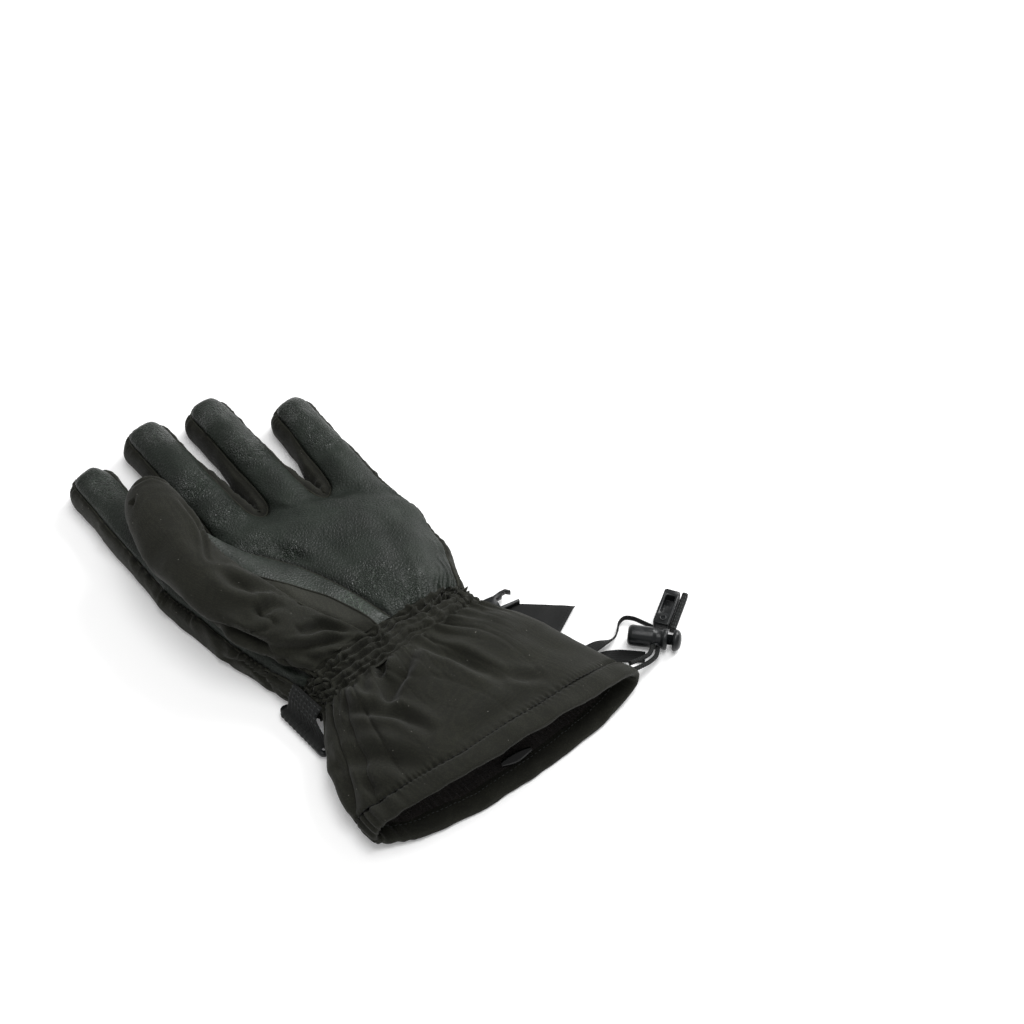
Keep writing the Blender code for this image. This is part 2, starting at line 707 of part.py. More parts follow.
def add_ribbon(name, kind, rows, thick, steps=3):
    """Flat tape along rows of x, y, z, width, twist in degrees (0 flat, 90 on edge)."""
    path = smooth_path(rows, steps)
    at = [Vector(r[:3]) for r in path]
    points, faces = [], []
    for i, r in enumerate(path):
        run = (at[min(i + 1, len(at) - 1)] - at[max(i - 1, 0)]).normalized()
        side = run.cross(Vector((0, 0, 1))).normalized()
        up = side.cross(run)
        a = math.radians(r[4])
        u = side * math.cos(a) + up * math.sin(a)
        v = up * math.cos(a) - side * math.sin(a)
        for du, dv in ((-1, -1), (1, -1), (1, 1), (-1, 1)):
            points.append(at[i] + u * (du * r[3] / 2) + v * (dv * thick / 2))
    n = len(path)
    for j in range(n - 1):
        for i in range(4):
            k = (i + 1) % 4
            faces.append((j * 4 + i, (j + 1) * 4 + i, (j + 1) * 4 + k, j * 4 + k))
    faces += [(0, 1, 2, 3), tuple((n - 1) * 4 + i for i in (3, 2, 1, 0))]
    return add_mesh(name, kind, points, faces)


def add_turned(name, start, along, profile, sides=20):
    """Solid of revolution: rows of distance along the axis, radius."""
    axis = along.normalized()
    u = axis.cross(Vector((0, 0, 1))).normalized()
    v = u.cross(axis)
    points, faces = [], []
    for d, r in profile:
        for i in range(sides):
            a = 2 * math.pi * i / sides
            points.append(start + axis * d + u * (r * math.cos(a)) + v * (r * math.sin(a)))
    m = len(profile)
    for j in range(m - 1):
        for i in range(sides):
            k = (i + 1) % sides
            faces.append((j * sides + i, (j + 1) * sides + i, (j + 1) * sides + k, j * sides + k))
    faces += [tuple(range(sides)), tuple((m - 1) * sides + i for i in range(sides - 1, -1, -1))]
    return add_mesh(name, "plastic", points, faces)


def add_frame(name, corners, bar, thick):
    """Rectangular frame from four corners of its centre line, with cut corners."""
    def loop(grow):
        out = []
        for i, c in enumerate(corners):
            a = (corners[i - 1] - c).normalized()
            b = (corners[(i + 1) % 4] - c).normalized()
            q = c - (a + b) * grow
            cut = bar * (0.85 if grow > 0 else 0.35)
            out += [q + a * cut, q + b * cut]
        return out
    n = (corners[1] - corners[0]).cross(corners[3] - corners[0]).normalized() * (thick / 2)
    big, small = loop(bar / 2), loop(-bar / 2)
    points = [p - n for p in big] + [p + n for p in big] + [p + n for p in small] + [p - n for p in small]
    faces = []
    for ring in range(4):
        k = (ring + 1) % 4
        for i in range(8):
            h = (i + 1) % 8
            faces.append((ring * 8 + i, ring * 8 + h, k * 8 + h, k * 8 + i))
    return add_mesh(name, "plastic", points, faces)


def under_cuff(y, z):
    """x at which the lower right side of the cuff is z above the floor."""
    lo, hi, side = (table_at(CUFF_SECTIONS, y, k) for k in (1, 2, 3))
    c = (1 - max(0.0, 1 - z / side) ** 3.6) ** (1 / 3.6)
    return (lo + hi) / 2 + (hi - lo) / 2 * c


# strap rows from the top down, buckle corners: out from the glove's side,
# y from the wrist (of strap width), z
STRAP_WIDTH = 30.4
STRAP_CLEAR = 3.5     # the strap's base line stays this far outside the cuff's start
STRAP = (((-2.0, 0.1, 19.5), (-3.6, -0.6, 19.5)), ((0.9, 0.11, 13.0), (0.7, -0.62, 13.0)),
         ((4.3, 0.06, 5.1), (-0.3, -0.95, 5.1)))
BUCKLE = ((6.3, 0.13, 3.4), (2.3, -1.03, 3.4), (-2.6, -1.03, 2.2), (2.0, 0.13, 2.2))
# label corners in plan beyond the cuff: out from its side, y from the cuff's start
LABEL_FREE = ((6.3, -30.2), (15.4, -31.8), (30.6, -20.5), (17.8, 1.5))
# plug clip: along and across, from its seat at the wrist
CLIP = ((0, -5.4), (11.0, -5.4), (11.4, -5.0), (22.0, -4.6), (22.2, -2.9), (11.6, -2.9),
        (11.6, 2.6), (15.0, 2.8), (16.4, 4.6), (18.4, 4.8), (20.6, 3.0), (21.0, 4.2),
        (18.8, 6.4), (15.4, 6.2), (11.4, 5.2), (0, 5.2))
CLIP_TURN = -11.5     # degrees from +X
CLIP_SEAT = 0.64      # of the band's length
CLIP_TUCK = 0.5       # how far its root lies inside the band's widest line
CLIP_Z, CLIP_THICK = 3.4, 3.0
# out from the cuff's side, y from the seat, z, width, twist
TAPE_LOOP = ((-0.6, 0.0, 4.6, 7.0, 8), (11.6, -1.2, 4.6, 7.0, 16), (20.6, -2.6, 3.6, 4.0, 60),
             (26.6, 0.6, 2.6, 3.2, 88), (30.4, 3.6, 2.6, 3.2, 90), (34.8, 4.2, 2.6, 3.2, 90),
             (38.2, 0.8, 2.6, 3.2, 90), (40.4, -4.8, 2.6, 3.2, 90), (42.1, -9.8, 2.6, 3.2, 90))
TAPE_TAIL = ((-9.9, 0.0, 1.8, 8.0, 0), (6.0, -1.0, 1.2, 8.0, 0), (13.6, -4.6, 1.0, 8.0, 0),
             (19.6, -9.8, 1.0, 7.5, 0), (24.4, -14.6, 1.0, 7.0, 0))
LOCK_AXIS = Vector((10.5, -12.0, 0.0))
LOCK_R = 5.5
LOCK_LENGTH = 21.0
# along (of lock length), radius (of lock radius)
LOCK_BODY = ((0, 0.76), (0.04, 0.94), (0.1, 1), (0.64, 1), (0.71, 0.87), (0.83, 0.87),
             (0.88, 1.02), (0.97, 1.02), (1, 0.91))
LOCK_BUTTON = ((1.02, 0.58), (1.1, 0.58), (1.12, 0.96), (1.18, 1.02), (1.25, 0.96), (1.31, 0.73),
               (1.33, 0.29))
# chosen points of the two strands, from the cuff's lower right corner
CORDS = (
    ("drawcord_upper", ((-1.75, 7.0, 15.8), (4.3, 7.4, 13.0), (9.8, 8.1, 10.2),
                        (14.8, 9.6, 7.9), (19.45, 12.85, 6.4))),
    ("drawcord_lower", ((-0.9, 4.4, 12.8), (4.8, 4.6, 10.6), (10.8, 5.3, 8.2),
                        (16.8, 7.2, 6.0), (21.7, 10.95, 4.9))),
)
BLOCK_LENGTH, BLOCK_WIDTH, BLOCK_HEIGHT = 23.3, 8.6, 6.4
BLOCK_WALL = 1.8
BLOCK_TURN = Vector((0.857, 0.515, 0))
BLOCK_SEAT = 7.4      # plain end of the block, before its window
BLOCK_AT = Vector((32.4, 20.8, 0))    # from the cuff's lower right corner
LOCK_AT = Vector((15.0, 26.8, 0))
LOOP_TO_BLOCK = Vector((44.63, -12.64, 0))    # from the loop's seat to the block


def build_strap():
    def corner(out, along, z):
        y = WRIST_Y + along * STRAP_WIDTH
        side = min(PALM_ROWS[0][1] - SIDE_BULGE, CUFF_SECTIONS[0][1] - STRAP_CLEAR)
        if y < CUFF_Y:
            side = table_at(CUFF_SECTIONS, y, 1)
        return Vector((side - out, y, z))
    ends = [[corner(*r) for r in row] for row in STRAP]
    sides = []
    for j, row in enumerate(ends):
        down = ends[min(j + 1, 2)][0] - ends[max(j - 1, 0)][0]
        n = (row[1] - row[0]).cross(down).normalized() * (WEBBING / 2)
        sides.append([row[0] - n, row[0] + n, row[1] + n, row[1] - n])
    points = [p for side in sides for p in side]
    faces = [(j * 4 + i, j * 4 + (i + 1) % 4, j * 4 + 4 + (i + 1) % 4, j * 4 + 4 + i)
             for j in range(2) for i in range(4)]
    add_mesh("wrist_strap", "webbing", points, faces + [(3, 2, 1, 0), (8, 9, 10, 11)])
    add_frame("strap_buckle", [corner(*c) for c in BUCKLE], BUCKLE_BAR, BUCKLE_THICK)


def build_label():
    """Flat label whose inner edge is tucked under the side of the cuff."""
    outline = []
    for out, dy in LABEL_FREE:
        y = CUFF_Y + dy
        outline.append((table_at(CUFF_SECTIONS, y, 2) + out, y))
    for dy in (-6.0, -18.0, -29.0):
        y = CUFF_Y + dy
        outline.append((under_cuff(y, LABEL_Z + LABEL_THICK + SKIN_GAP), y))
    add_prism("side_label", "webbing", outline, LABEL_Z, LABEL_Z + LABEL_THICK)


def build_clip():
    """Plug half of a side-release clip: body, guide prong and one barbed prong."""
    side_x = mix(PALM_ROWS[0][2] + SIDE_BULGE, CUFF_SECTIONS[0][2], smooth(CLIP_SEAT))
    o = Vector((side_x - CLIP_TUCK, WRIST_Y - CLIP_SEAT * BAND_LENGTH, 0))
    a = math.radians(CLIP_TURN)
    d, side = Vector((math.cos(a), math.sin(a), 0)), Vector((-math.sin(a), math.cos(a), 0))
    outline = [tuple((o + d * u + side * v).xy) for u, v in CLIP]
    add_prism("plug_clip", "plastic", outline, CLIP_Z, CLIP_Z + CLIP_THICK)


def build_block(o):
    d = BLOCK_TURN.normalized()
    side = Vector((-d.y, d.x, 0))
    h, length, low = BLOCK_WIDTH / 2, BLOCK_LENGTH, 0.5
    bevel, small = 0.8, 0.6

    def at(a, b, z):
        p = o + d * a + side * b
        return Vector((p.x, p.y, z))

    def oblong(a0, a1, b, cut):
        return [(a0 + cut, -b), (a1 - cut, -b), (a1, -b + cut), (a1, b - cut),
                (a1 - cut, b), (a0 + cut, b), (a0, b - cut), (a0, -b + cut)]
    base = oblong(0, length, h, bevel)
    win = oblong(BLOCK_SEAT, length - 2.2 * BLOCK_WALL, h - BLOCK_WALL, small)
    levels = ([at(a, b, low) for a, b in base], [at(a, b, low + BLOCK_HEIGHT) for a, b in base],
              [at(a, b, low + BLOCK_HEIGHT) for a, b in win], [at(a, b, low + BLOCK_WALL) for a, b in win])
    points = [p for ring in levels for p in ring]
    faces = [tuple(range(7, -1, -1)), tuple(range(24, 32))]
    for j in range(3):
        for i in range(8):
            k = (i + 1) % 8
            faces.append((j * 8 + i, j * 8 + k, (j + 1) * 8 + k, (j + 1) * 8 + i))
    add_mesh("clip_block", "plastic", points, faces)
    b = -h - JOINT_GAP
    strip = ((0.6, b), (length + 2.0, b), (length + 2.0, b - 2 * WEBBING), (0.6, b - 2 * WEBBING))
    outline = [tuple((o + d * u + side * v).xy) for u, v in strip]
    add_prism("clip_webbing", "webbing", outline, low + 0.1, low + 4.1)


def build_cords(corner):
    for name, rows in CORDS:
        path = [Vector(r) + corner for r in smooth_path(rows, 2)]
        curve = bpy.data.curves.new(name, "CURVE")
        curve.dimensions = "3D"
        curve.bevel_depth = CORD_D / 2 * MM
        curve.bevel_resolution = 2
        curve.use_fill_caps = True
        spline = curve.splines.new("POLY")
        spline.points.add(len(path) - 1)
        for point, p in zip(spline.points, path):
            point.co = (*((p - path[0]) * MM), 1.0)
        place(name, curve, "webbing", path[0])


def build_tab():
    """Small curved tab standing on the lower lining at the mouth."""
    y, z = CUFF_Y - 0.81 * CUFF_LENGTH, CUFF_WALL + SKIN_GAP + LINING_WALL
    rows = ((-0.5, y + 1.2, z + 2.8, 5.0, 68), (8.0, y - 0.6, z + 3.6, 6.0, 62),
            (17.0, y - 1.0, z + 2.8, 5.0, 68))
    add_ribbon("size_tab", "webbing", rows, LABEL_THICK)


def main():
    for obj in list(bpy.data.objects):
        bpy.data.objects.remove(obj)
    root = bpy.data.objects.new("glove", None)
    bpy.context.scene.collection.objects.link(root)
    wrist = build_hand()
    build_wrist(wrist)
    build_cuff()
    build_strap()
    build_label()
    build_clip()

    # fittings at the little-finger side of the mouth
    corner = Vector((CUFF_SECTIONS[-1][2] - 1.4, CUFF_Y - 0.92 * CUFF_LENGTH, 0))
    for name, share, rows in (("tape_loop", 0.54, TAPE_LOOP), ("tape_tail", 0.61, TAPE_TAIL)):
        y = CUFF_Y - share * CUFF_LENGTH
        seat = Vector((table_at(CUFF_SECTIONS, y, 2), y, 0))
        # the loop runs from its seat at the cuff to the block, wherever the two are
        drift = corner + BLOCK_AT - seat - LOOP_TO_BLOCK if name == "tape_loop" else Vector()
        rows = [(seat.x + r[0] + drift.x * smooth(k / 4), seat.y + r[1] + drift.y * smooth(k / 4)) + r[2:]
                for k, r in enumerate(rows)]
        add_ribbon(name, "webbing", rows, TAPE)
    start = corner + LOCK_AT + Vector((0, 0, LOCK_R + 0.3))
    for name, rows in (("lock_barrel", LOCK_BODY), ("lock_button", LOCK_BUTTON)):
        add_turned(name, start, LOCK_AXIS, [(d * LOCK_LENGTH, r * LOCK_R) for d, r in rows])
    build_cords(corner)
    build_block(corner + BLOCK_AT)
    build_tab()


main()
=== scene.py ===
"""Winter glove: the looks of a padded left-hand glove that lies palm up.

Everything is drawn in the frame's own metres: X to the little-finger side,
Y to the fingertips, Z up from the floor. The tables below are in millimetres.
"""

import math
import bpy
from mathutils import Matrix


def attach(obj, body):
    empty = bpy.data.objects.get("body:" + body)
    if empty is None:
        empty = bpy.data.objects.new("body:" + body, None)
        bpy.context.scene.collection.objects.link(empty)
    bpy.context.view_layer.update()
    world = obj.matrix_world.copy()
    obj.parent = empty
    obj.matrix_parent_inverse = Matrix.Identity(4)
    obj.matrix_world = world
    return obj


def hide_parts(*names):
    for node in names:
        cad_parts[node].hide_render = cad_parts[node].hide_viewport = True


bl_info = {
    "name": "Winter Glove",
    "version": (1, 0, 0),
    "blender": (4, 5, 0),
    "location": "View3D > Sidebar > Glove",
    "description": "Builds a padded winter glove with its seams, straps, cord and fittings",
    "category": "Add Mesh",
}

import bmesh
import bpy
import numpy as np
from mathutils import Vector, noise
from mathutils.kdtree import KDTree

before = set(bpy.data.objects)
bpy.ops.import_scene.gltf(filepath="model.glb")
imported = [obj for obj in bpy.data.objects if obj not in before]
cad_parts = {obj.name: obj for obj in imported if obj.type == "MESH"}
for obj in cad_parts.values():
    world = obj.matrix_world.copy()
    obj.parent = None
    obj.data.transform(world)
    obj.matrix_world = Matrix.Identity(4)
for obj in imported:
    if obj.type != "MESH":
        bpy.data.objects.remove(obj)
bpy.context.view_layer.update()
MM = 0.001
BODY = "root"

# sizes of the pattern, the same as in the solids
WRIST_Y = -44.0
PALM_WIDTH = 137.0
PALM_LENGTH = 106.0
PALM_HEIGHT = 29.5
FINGER_LENGTH = 95.5
FINGER_WIDTH = 26.0
FINGER_HEIGHT = 26.5
SIDE_BULGE = 3.0
CROTCH_DIP = 2.5
THUMB_LENGTH = 50.6
THUMB_WIDTH = 36.4
THUMB_DEPTH = 24.8
THUMB_CLEAR = 2.1
THUMB_LIFT = 1.6
BAND_LENGTH = 20.0
CUFF_LENGTH = 88.0
CUFF_WIDTH = 164.0
CUFF_HEIGHT = 37.0
HEM_DEPTH = 12.0
HEM_ROLL = 4.4
CUFF_WALL = 2.0
LINING_WALL = 1.5
CORD_D = 2.4
ROOT_Y = WRIST_Y + PALM_LENGTH
CUFF_Y = WRIST_Y - BAND_LENGTH
THUMB_TOP = FINGER_HEIGHT + THUMB_CLEAR + THUMB_DEPTH
WRIST_MIDDLE = 13.0     # heights of the wrist's and the cuff's middle line
CUFF_MIDDLE = 15.0

# name, base x, tip x (of palm width), reach (of finger length),
# half width at base and tip (of finger width), seam z, crown z (of finger height)
FINGERS = (
    ("index", -0.428, -0.412, 0.916, 0.508, 0.469, 0.698, 0.962),
    ("middle", -0.13, -0.114, 1, 0.5, 0.485, 0.736, 1),
    ("ring", 0.123, 0.149, 0.932, 0.485, 0.469, 0.736, 1),
    ("little", 0.378, 0.42, 0.623, 0.523, 0.446, 0.717, 0.962),
)
FINGERS = tuple((n, bx * PALM_WIDTH, tx * PALM_WIDTH, ROOT_Y + r * FINGER_LENGTH,
                 bw * FINGER_WIDTH, tw * FINGER_WIDTH, sz * FINGER_HEIGHT, cz * FINGER_HEIGHT)
                for n, bx, tx, r, bw, tw, sz, cz in FINGERS)
# x (of palm width), y (of palm length): where the fingers leave the palm
CROTCH_LINE = ((-0.555, 0.953), (-0.285, 0.991), (-0.007, 1.009), (0.241, 0.906), (0.482, 0.849))
CROTCH_LINE = tuple((x * PALM_WIDTH, WRIST_Y + y * PALM_LENGTH) for x, y in CROTCH_LINE)
# y (of palm length), left and right seam x (of palm width), seam z, crown z (of palm height)
PALM_ROWS = (
    (0, -0.387, 0.372, 0.542, 0.932),
    (0.094, -0.412, 0.409, 0.559, 0.983),
    (0.226, -0.445, 0.453, 0.576, 1),
    (0.415, -0.478, 0.482, 0.593, 0.983),
    (0.604, -0.493, 0.489, 0.61, 0.949),
    (0.792, -0.511, 0.485, 0.627, 0.898),
    (1, -0.527, 0.476, 0.627, 0.864),
)
PALM_ROWS = tuple((WRIST_Y + y * PALM_LENGTH, a * PALM_WIDTH, b * PALM_WIDTH,
                   c * PALM_HEIGHT, d * PALM_HEIGHT) for y, a, b, c, d in PALM_ROWS)
# y (of palm length), x (of palm width): crease between palm and thumb gusset
CREASE = ((0, 0.051), (0.189, 0.029), (0.33, 0), (0.519, -0.051), (0.708, -0.131),
          (0.811, -0.19), (0.981, -0.285))
CREASE = tuple((WRIST_Y + y * PALM_LENGTH, x * PALM_WIDTH) for y, x in CREASE)
PALM_STEPS = (0.0, 0.09, 0.18, 0.29, 0.41, 0.53, 0.65, 0.76, 0.86, 0.94, 1.0)
THUMB_ROW = 9         # palm row at which the thumb comes free
# y (of palm length), x (of palm width) and z (of thumb top) of the gusset seam,
# the ridge and the outer side
THUMB_BASE = (
    (0, -0.073, 0.536, -0.204, 0.543, -0.328, 0.459),
    (0.113, -0.124, 0.609, -0.263, 0.684, -0.409, 0.524),
    (0.283, -0.197, 0.702, -0.336, 0.824, -0.482, 0.609),
    (0.491, -0.255, 0.777, -0.391, 0.918, -0.536, 0.684),
    (0.698, -0.296, 0.815, -0.42, 0.974, -0.555, 0.73),
    (0.915, -0.288, 0.843, -0.416, 1.002, -0.547, 0.758),
)
THUMB_BASE = tuple((WRIST_Y + r[0] * PALM_LENGTH,) +
                   tuple(v * (PALM_WIDTH if k % 2 == 0 else THUMB_TOP) for k, v in enumerate(r[1:]))
                   for r in THUMB_BASE)
# reach (of thumb length), centre x (of palm width), lift (of thumb lift),
# half width (of thumb width), half height (of thumb depth)
THUMB_TUBE = (
    (0.158, -0.409, 0, 0.5, 0.5),
    (0.356, -0.396, 0.312, 0.5, 0.5),
    (0.553, -0.382, 0.5, 0.489, 0.492),
    (0.731, -0.371, 0.625, 0.445, 0.46),
    (0.87, -0.362, 0.812, 0.352, 0.387),
    (0.958, -0.357, 0.938, 0.214, 0.25),
    (1.0, -0.355, 1.0, 0.0, 0.0),
)
THUMB_START = WRIST_Y + 0.906 * PALM_LENGTH
THUMB_TUBE = tuple((THUMB_START + y * THUMB_LENGTH, x * PALM_WIDTH,
                    THUMB_TOP - THUMB_DEPTH / 2 + z * THUMB_LIFT, rx * THUMB_WIDTH, rz * THUMB_DEPTH)
                   for y, x, z, rx, rz in THUMB_TUBE)
# outward (of bulge), height (of seam height) down the sides
SIDE_PROFILE = ((0.75, 0.74), (1.0, 0.46), (0.72, 0.15), (-0.35, 0.0))
# y (of cuff length), left x, right x (of cuff width), side z, top z (of cuff height)
CUFF_SECTIONS = (
    (0, -0.32, 0.323, 0.405, 0.77),
    (0.159, -0.381, 0.378, 0.405, 0.851),
    (0.318, -0.427, 0.418, 0.378, 0.919),
    (0.511, -0.457, 0.451, 0.351, 0.973),
    (0.693, -0.47, 0.488, 0.338, 1),
    (0.864, -0.466, 0.518, 0.338, 1),
    (1.045, -0.463, 0.54, 0.338, 1),
)
CUFF_SECTIONS = tuple((CUFF_Y - y * CUFF_LENGTH, a * CUFF_WIDTH, b * CUFF_WIDTH,
                       c * CUFF_HEIGHT, d * CUFF_HEIGHT) for y, a, b, c, d in CUFF_SECTIONS)
# x (of cuff width), y (of cuff length) of the lip on the upper and the lower side
LIP_LINE = ((-0.47, 0.795, 0.795), (-0.335, 0.864, 0.909), (-0.122, 0.949, 0.989),
            (0.152, 0.972, 1), (0.366, 0.955, 0.977), (0.537, 0.92, 0.92))
LIP_LINE = tuple((x * CUFF_WIDTH, CUFF_Y - a * CUFF_LENGTH, CUFF_Y - b * CUFF_LENGTH)
                 for x, a, b in LIP_LINE)


def table_at(table, x, column):
    """Value of a column at x, straight between the rows of a sorted table."""
    rows = sorted(table)
    if x <= rows[0][0]:
        return rows[0][column]
    for a, b in zip(rows, rows[1:]):
        if x <= b[0]:
            t = (x - a[0]) / (b[0] - a[0])
            return a[column] + (b[column] - a[column]) * t
    return rows[-1][column]


def mix(a, b, t):
    return a + (b - a) * t


def smooth(t):
    t = min(1.0, max(0.0, t))
    return t * t * (3 - 2 * t)


class Surface:
    """Points and labelled faces of one outer skin."""

    def __init__(self):
        self.points, self.faces, self.labels = [], [], []

    def point(self, x, y, z):
        self.points.append(Vector((x, y, z)))
        return len(self.points) - 1

    def face(self, label, *corners):
        self.faces.append(corners)
        self.labels.append(label)


def palm_plan(across, between):
    """Columns of the hand at the crotch line: lane number, u inside it, x."""
    columns = []
    for k, (_, bx, _, _, bw, _, _, _) in enumerate(FINGERS):
        for i in range(across + 1):
            u = -1 + 2 * i / across
            columns.append((k, u, bx + bw * u))
        if k < 3:
            nxt = FINGERS[k + 1]
            x0, x1 = bx + bw, nxt[1] - nxt[4]
            for i in range(1, between):
                columns.append((None, i / between, mix(x0, x1, i / between)))
    return columns


def hand_surface(across=5, between=2, straight=3, tip_steps=(0.42, 0.76, 1.0),
                 thumb_parts=(2, 2, 3, 2)):
    """Whole outer skin of the hand and thumb, open at the wrist."""
    s = Surface()
    cols = palm_plan(across, between)
    last, rows = len(cols) - 1, len(PALM_STEPS) - 1
    crease_col = across + 1
    x_left, x_right = cols[0][2], cols[-1][2]

    def plan(c, j, warp):
        lane, _, x = cols[c]
        yc = table_at(CROTCH_LINE, x, 1) - (CROTCH_DIP if lane is None else 0.0)
        y = mix(WRIST_Y, yc, PALM_STEPS[j])
        if j == 0:
            y = WRIST_Y
        q = (x - x_left) / (x_right - x_left)
        lo, hi = table_at(PALM_ROWS, y, 1), table_at(PALM_ROWS, y, 2)
        t = smooth((j / rows - 0.6) / 0.4)
        lo, hi = mix(lo, x_left, t), mix(hi, x_right, t)
        if warp:
            qc = (cols[crease_col][2] - x_left) / (x_right - x_left)
            yj = mix(WRIST_Y, table_at(CROTCH_LINE, cols[crease_col][2], 1), PALM_STEPS[j])
            want = (table_at(CREASE, yj, 1) - lo) / (hi - lo)
            want = mix(want, qc, smooth((j - rows + 1) / 1.0) if j == rows else 0.0)
            q = q * want / qc if q < qc else 1 - (1 - q) * (1 - want) / (1 - qc)
        return mix(lo, hi, q), y, q

    def top_z(c, j, y, q):
        lane, u, _ = cols[c]
        seam, crown = table_at(PALM_ROWS, y, 3), table_at(PALM_ROWS, y, 4)
        g = 2 * q - 1
        palm = seam + (crown - seam) * (1 - abs(g) ** 3.4)
        b = smooth((j / rows - 0.72) / 0.28)
        if lane is None:
            return mix(palm, min(FINGERS[0][6], FINGERS[-1][6]), b)
        f = FINGERS[lane]
        return mix(palm, f[6] + (f[7] - f[6]) * (1 - abs(u) ** 2.4), b)

    top, low = {}, {}
    for j in range(rows + 1):
        for c in range(last + 1):
            x, y, q = plan(c, j, True)
            top[c, j] = s.point(x, y, top_z(c, j, y, q))
            if 0 < c < last and (j < rows or cols[c][0] is not None and abs(cols[c][1]) < 1):
                x, y, q = plan(c, j, False)
                low[c, j] = s.point(x, y, 0.0)

    # finger rows above the crotch line
    first_col = [k * (across + between) for k in range(4)]
    finger_rows = straight + len(tip_steps)
    for k, (_, bx, tx, ty, bw, tw, sz, cz) in enumerate(FINGERS):
        y1 = ty - tw * 1.08
        for r in range(1, finger_rows + 1):
            for i in range(across + 1):
                u = -1 + 2 * i / across
                c = first_col[k] + i
                y0 = s.points[top[c, rows]].y
                if r <= straight:
                    t = r / straight
                    x, y, tip = mix(bx, tx, t) + mix(bw, tw, t) * u, mix(y0, y1, t), 0.0
                else:
                    tip = tip_steps[r - straight - 1]
                    x = tx + tw * u * math.sqrt(1 - tip * tip / 2)
                    y = y1 + tw * 1.08 * tip * math.sqrt(1 - u * u / 2)
                z = sz - 1.5 * tip + (cz - sz + 1.5 * tip) * (1 - abs(u) ** 2.4) * (1 - tip ** 3.0)
                top[c, rows + r] = s.point(x, y, z)
                if 0 < i < across and r < finger_rows:
                    low[c, rows + r] = s.point(x, y, 0.0)

    # seam loop from the wrist round all fingers back to the wrist
    loop = [(0, j) for j in range(rows + 1)]
    for k in range(4):
        c0, c1 = first_col[k], first_col[k] + across
        loop += [(c0, rows + r) for r in range(1, finger_rows + 1)]
        loop += [(c, rows + finger_rows) for c in range(c0 + 1, c1 + 1)]
        loop += [(c1, rows + r) for r in range(finger_rows - 1, -1, -1)]
        if k < 3:
            loop += [(c, rows) for c in range(c1 + 1, c1 + between + 1)]
    loop += [(last, j) for j in range(rows - 1, -1, -1)]
    ring = [top[key] for key in loop]
    rim = [ring]
    for out, up in SIDE_PROFILE:
        row = []
        for n, i in enumerate(ring):
            a, b = s.points[ring[max(0, n - 1)]], s.points[ring[min(len(ring) - 1, n + 1)]]
            p = s.points[i]
            e0, e1 = (p - a).xy, (b - p).xy
            e0 = e0.normalized() if e0.length else e0
            e1 = e1.normalized() if e1.length else e1
            d = (e0 + e1).normalized()
            side = Vector((-d.y, d.x))
            if n in (0, len(ring) - 1):
                side = Vector((-1.0 if n == 0 else 1.0, 0.0))
            row.append(s.point(p.x + side.x * out * SIDE_BULGE, p.y + side.y * out * SIDE_BULGE, p.z * up))
        rim.append(row)
    for a, b in zip(rim, rim[1:]):
        for n in range(len(ring) - 1):
            s.face("back_shell", a[n], a[n + 1], b[n + 1], b[n])
    for key, i in zip(loop, rim[-1]):
        low[key] = i

    def grid_cells():
        for j in range(rows):
            for c in range(last):
                yield c, j
        for k in range(4):
            for r in range(finger_rows):
                for c in range(first_col[k], first_col[k] + across):
                    yield c, rows + r

    for c, j in grid_cells():
        under_thumb = j < THUMB_ROW and 1 <= c < crease_col
        if not under_thumb:
            s.face("palm_panel", top[c, j], top[c + 1, j], top[c + 1, j + 1], top[c, j + 1])
        s.face("back_shell", low[c, j], low[c, j + 1], low[c + 1, j + 1], low[c + 1, j])

    # thumb: sections over the mound, then free rings
    na, nb, nc, nd = thumb_parts
    over = na + nb + nc + nd

    def section(points):
        """Curve through five points with the given number of steps each."""
        out = []
        ext = [points[0] * 2 - points[1]] + points + [points[-1] * 2 - points[-2]]
        for part in range(4):
            steps = thumb_parts[part]
            a, b, c, d = ext[part:part + 4]
            for i in range(steps):
                t = i / steps
                out.append(0.5 * ((2 * b) + (c - a) * t + (2 * a - 5 * b + 4 * c - d) * t * t
                                  + (3 * b - a - 3 * c + d) * t ** 3))
        return out + [points[-1]]

    rings = []
    for j in range(THUMB_ROW + 1):
        c_pt, l_pt = s.points[top[crease_col, j]], s.points[top[1, j]]
        y = c_pt.y
        v = [table_at(THUMB_BASE, y, k) for k in range(1, 7)]
        pts = [Vector((c_pt.x, 0, c_pt.z)), Vector((v[0], 0, v[1])), Vector((v[2], 0, v[3])),
               Vector((v[4], 0, v[5])), Vector((l_pt.x, 0, l_pt.z))]
        row = [top[crease_col, j]]
        curve = section(pts)
        for i in range(1, over):
            p = curve[i]
            row.append(s.point(p.x, mix(c_pt.y, l_pt.y, i / over), p.z))
        row.append(top[1, j])
        rings.append(row)
    for a, b in zip(rings, rings[1:]):
        for i in range(over):
            label = "thumb_crescent" if i < na else "thumb_shell"
            s.face(label, a[i + 1], a[i], b[i], b[i + 1])

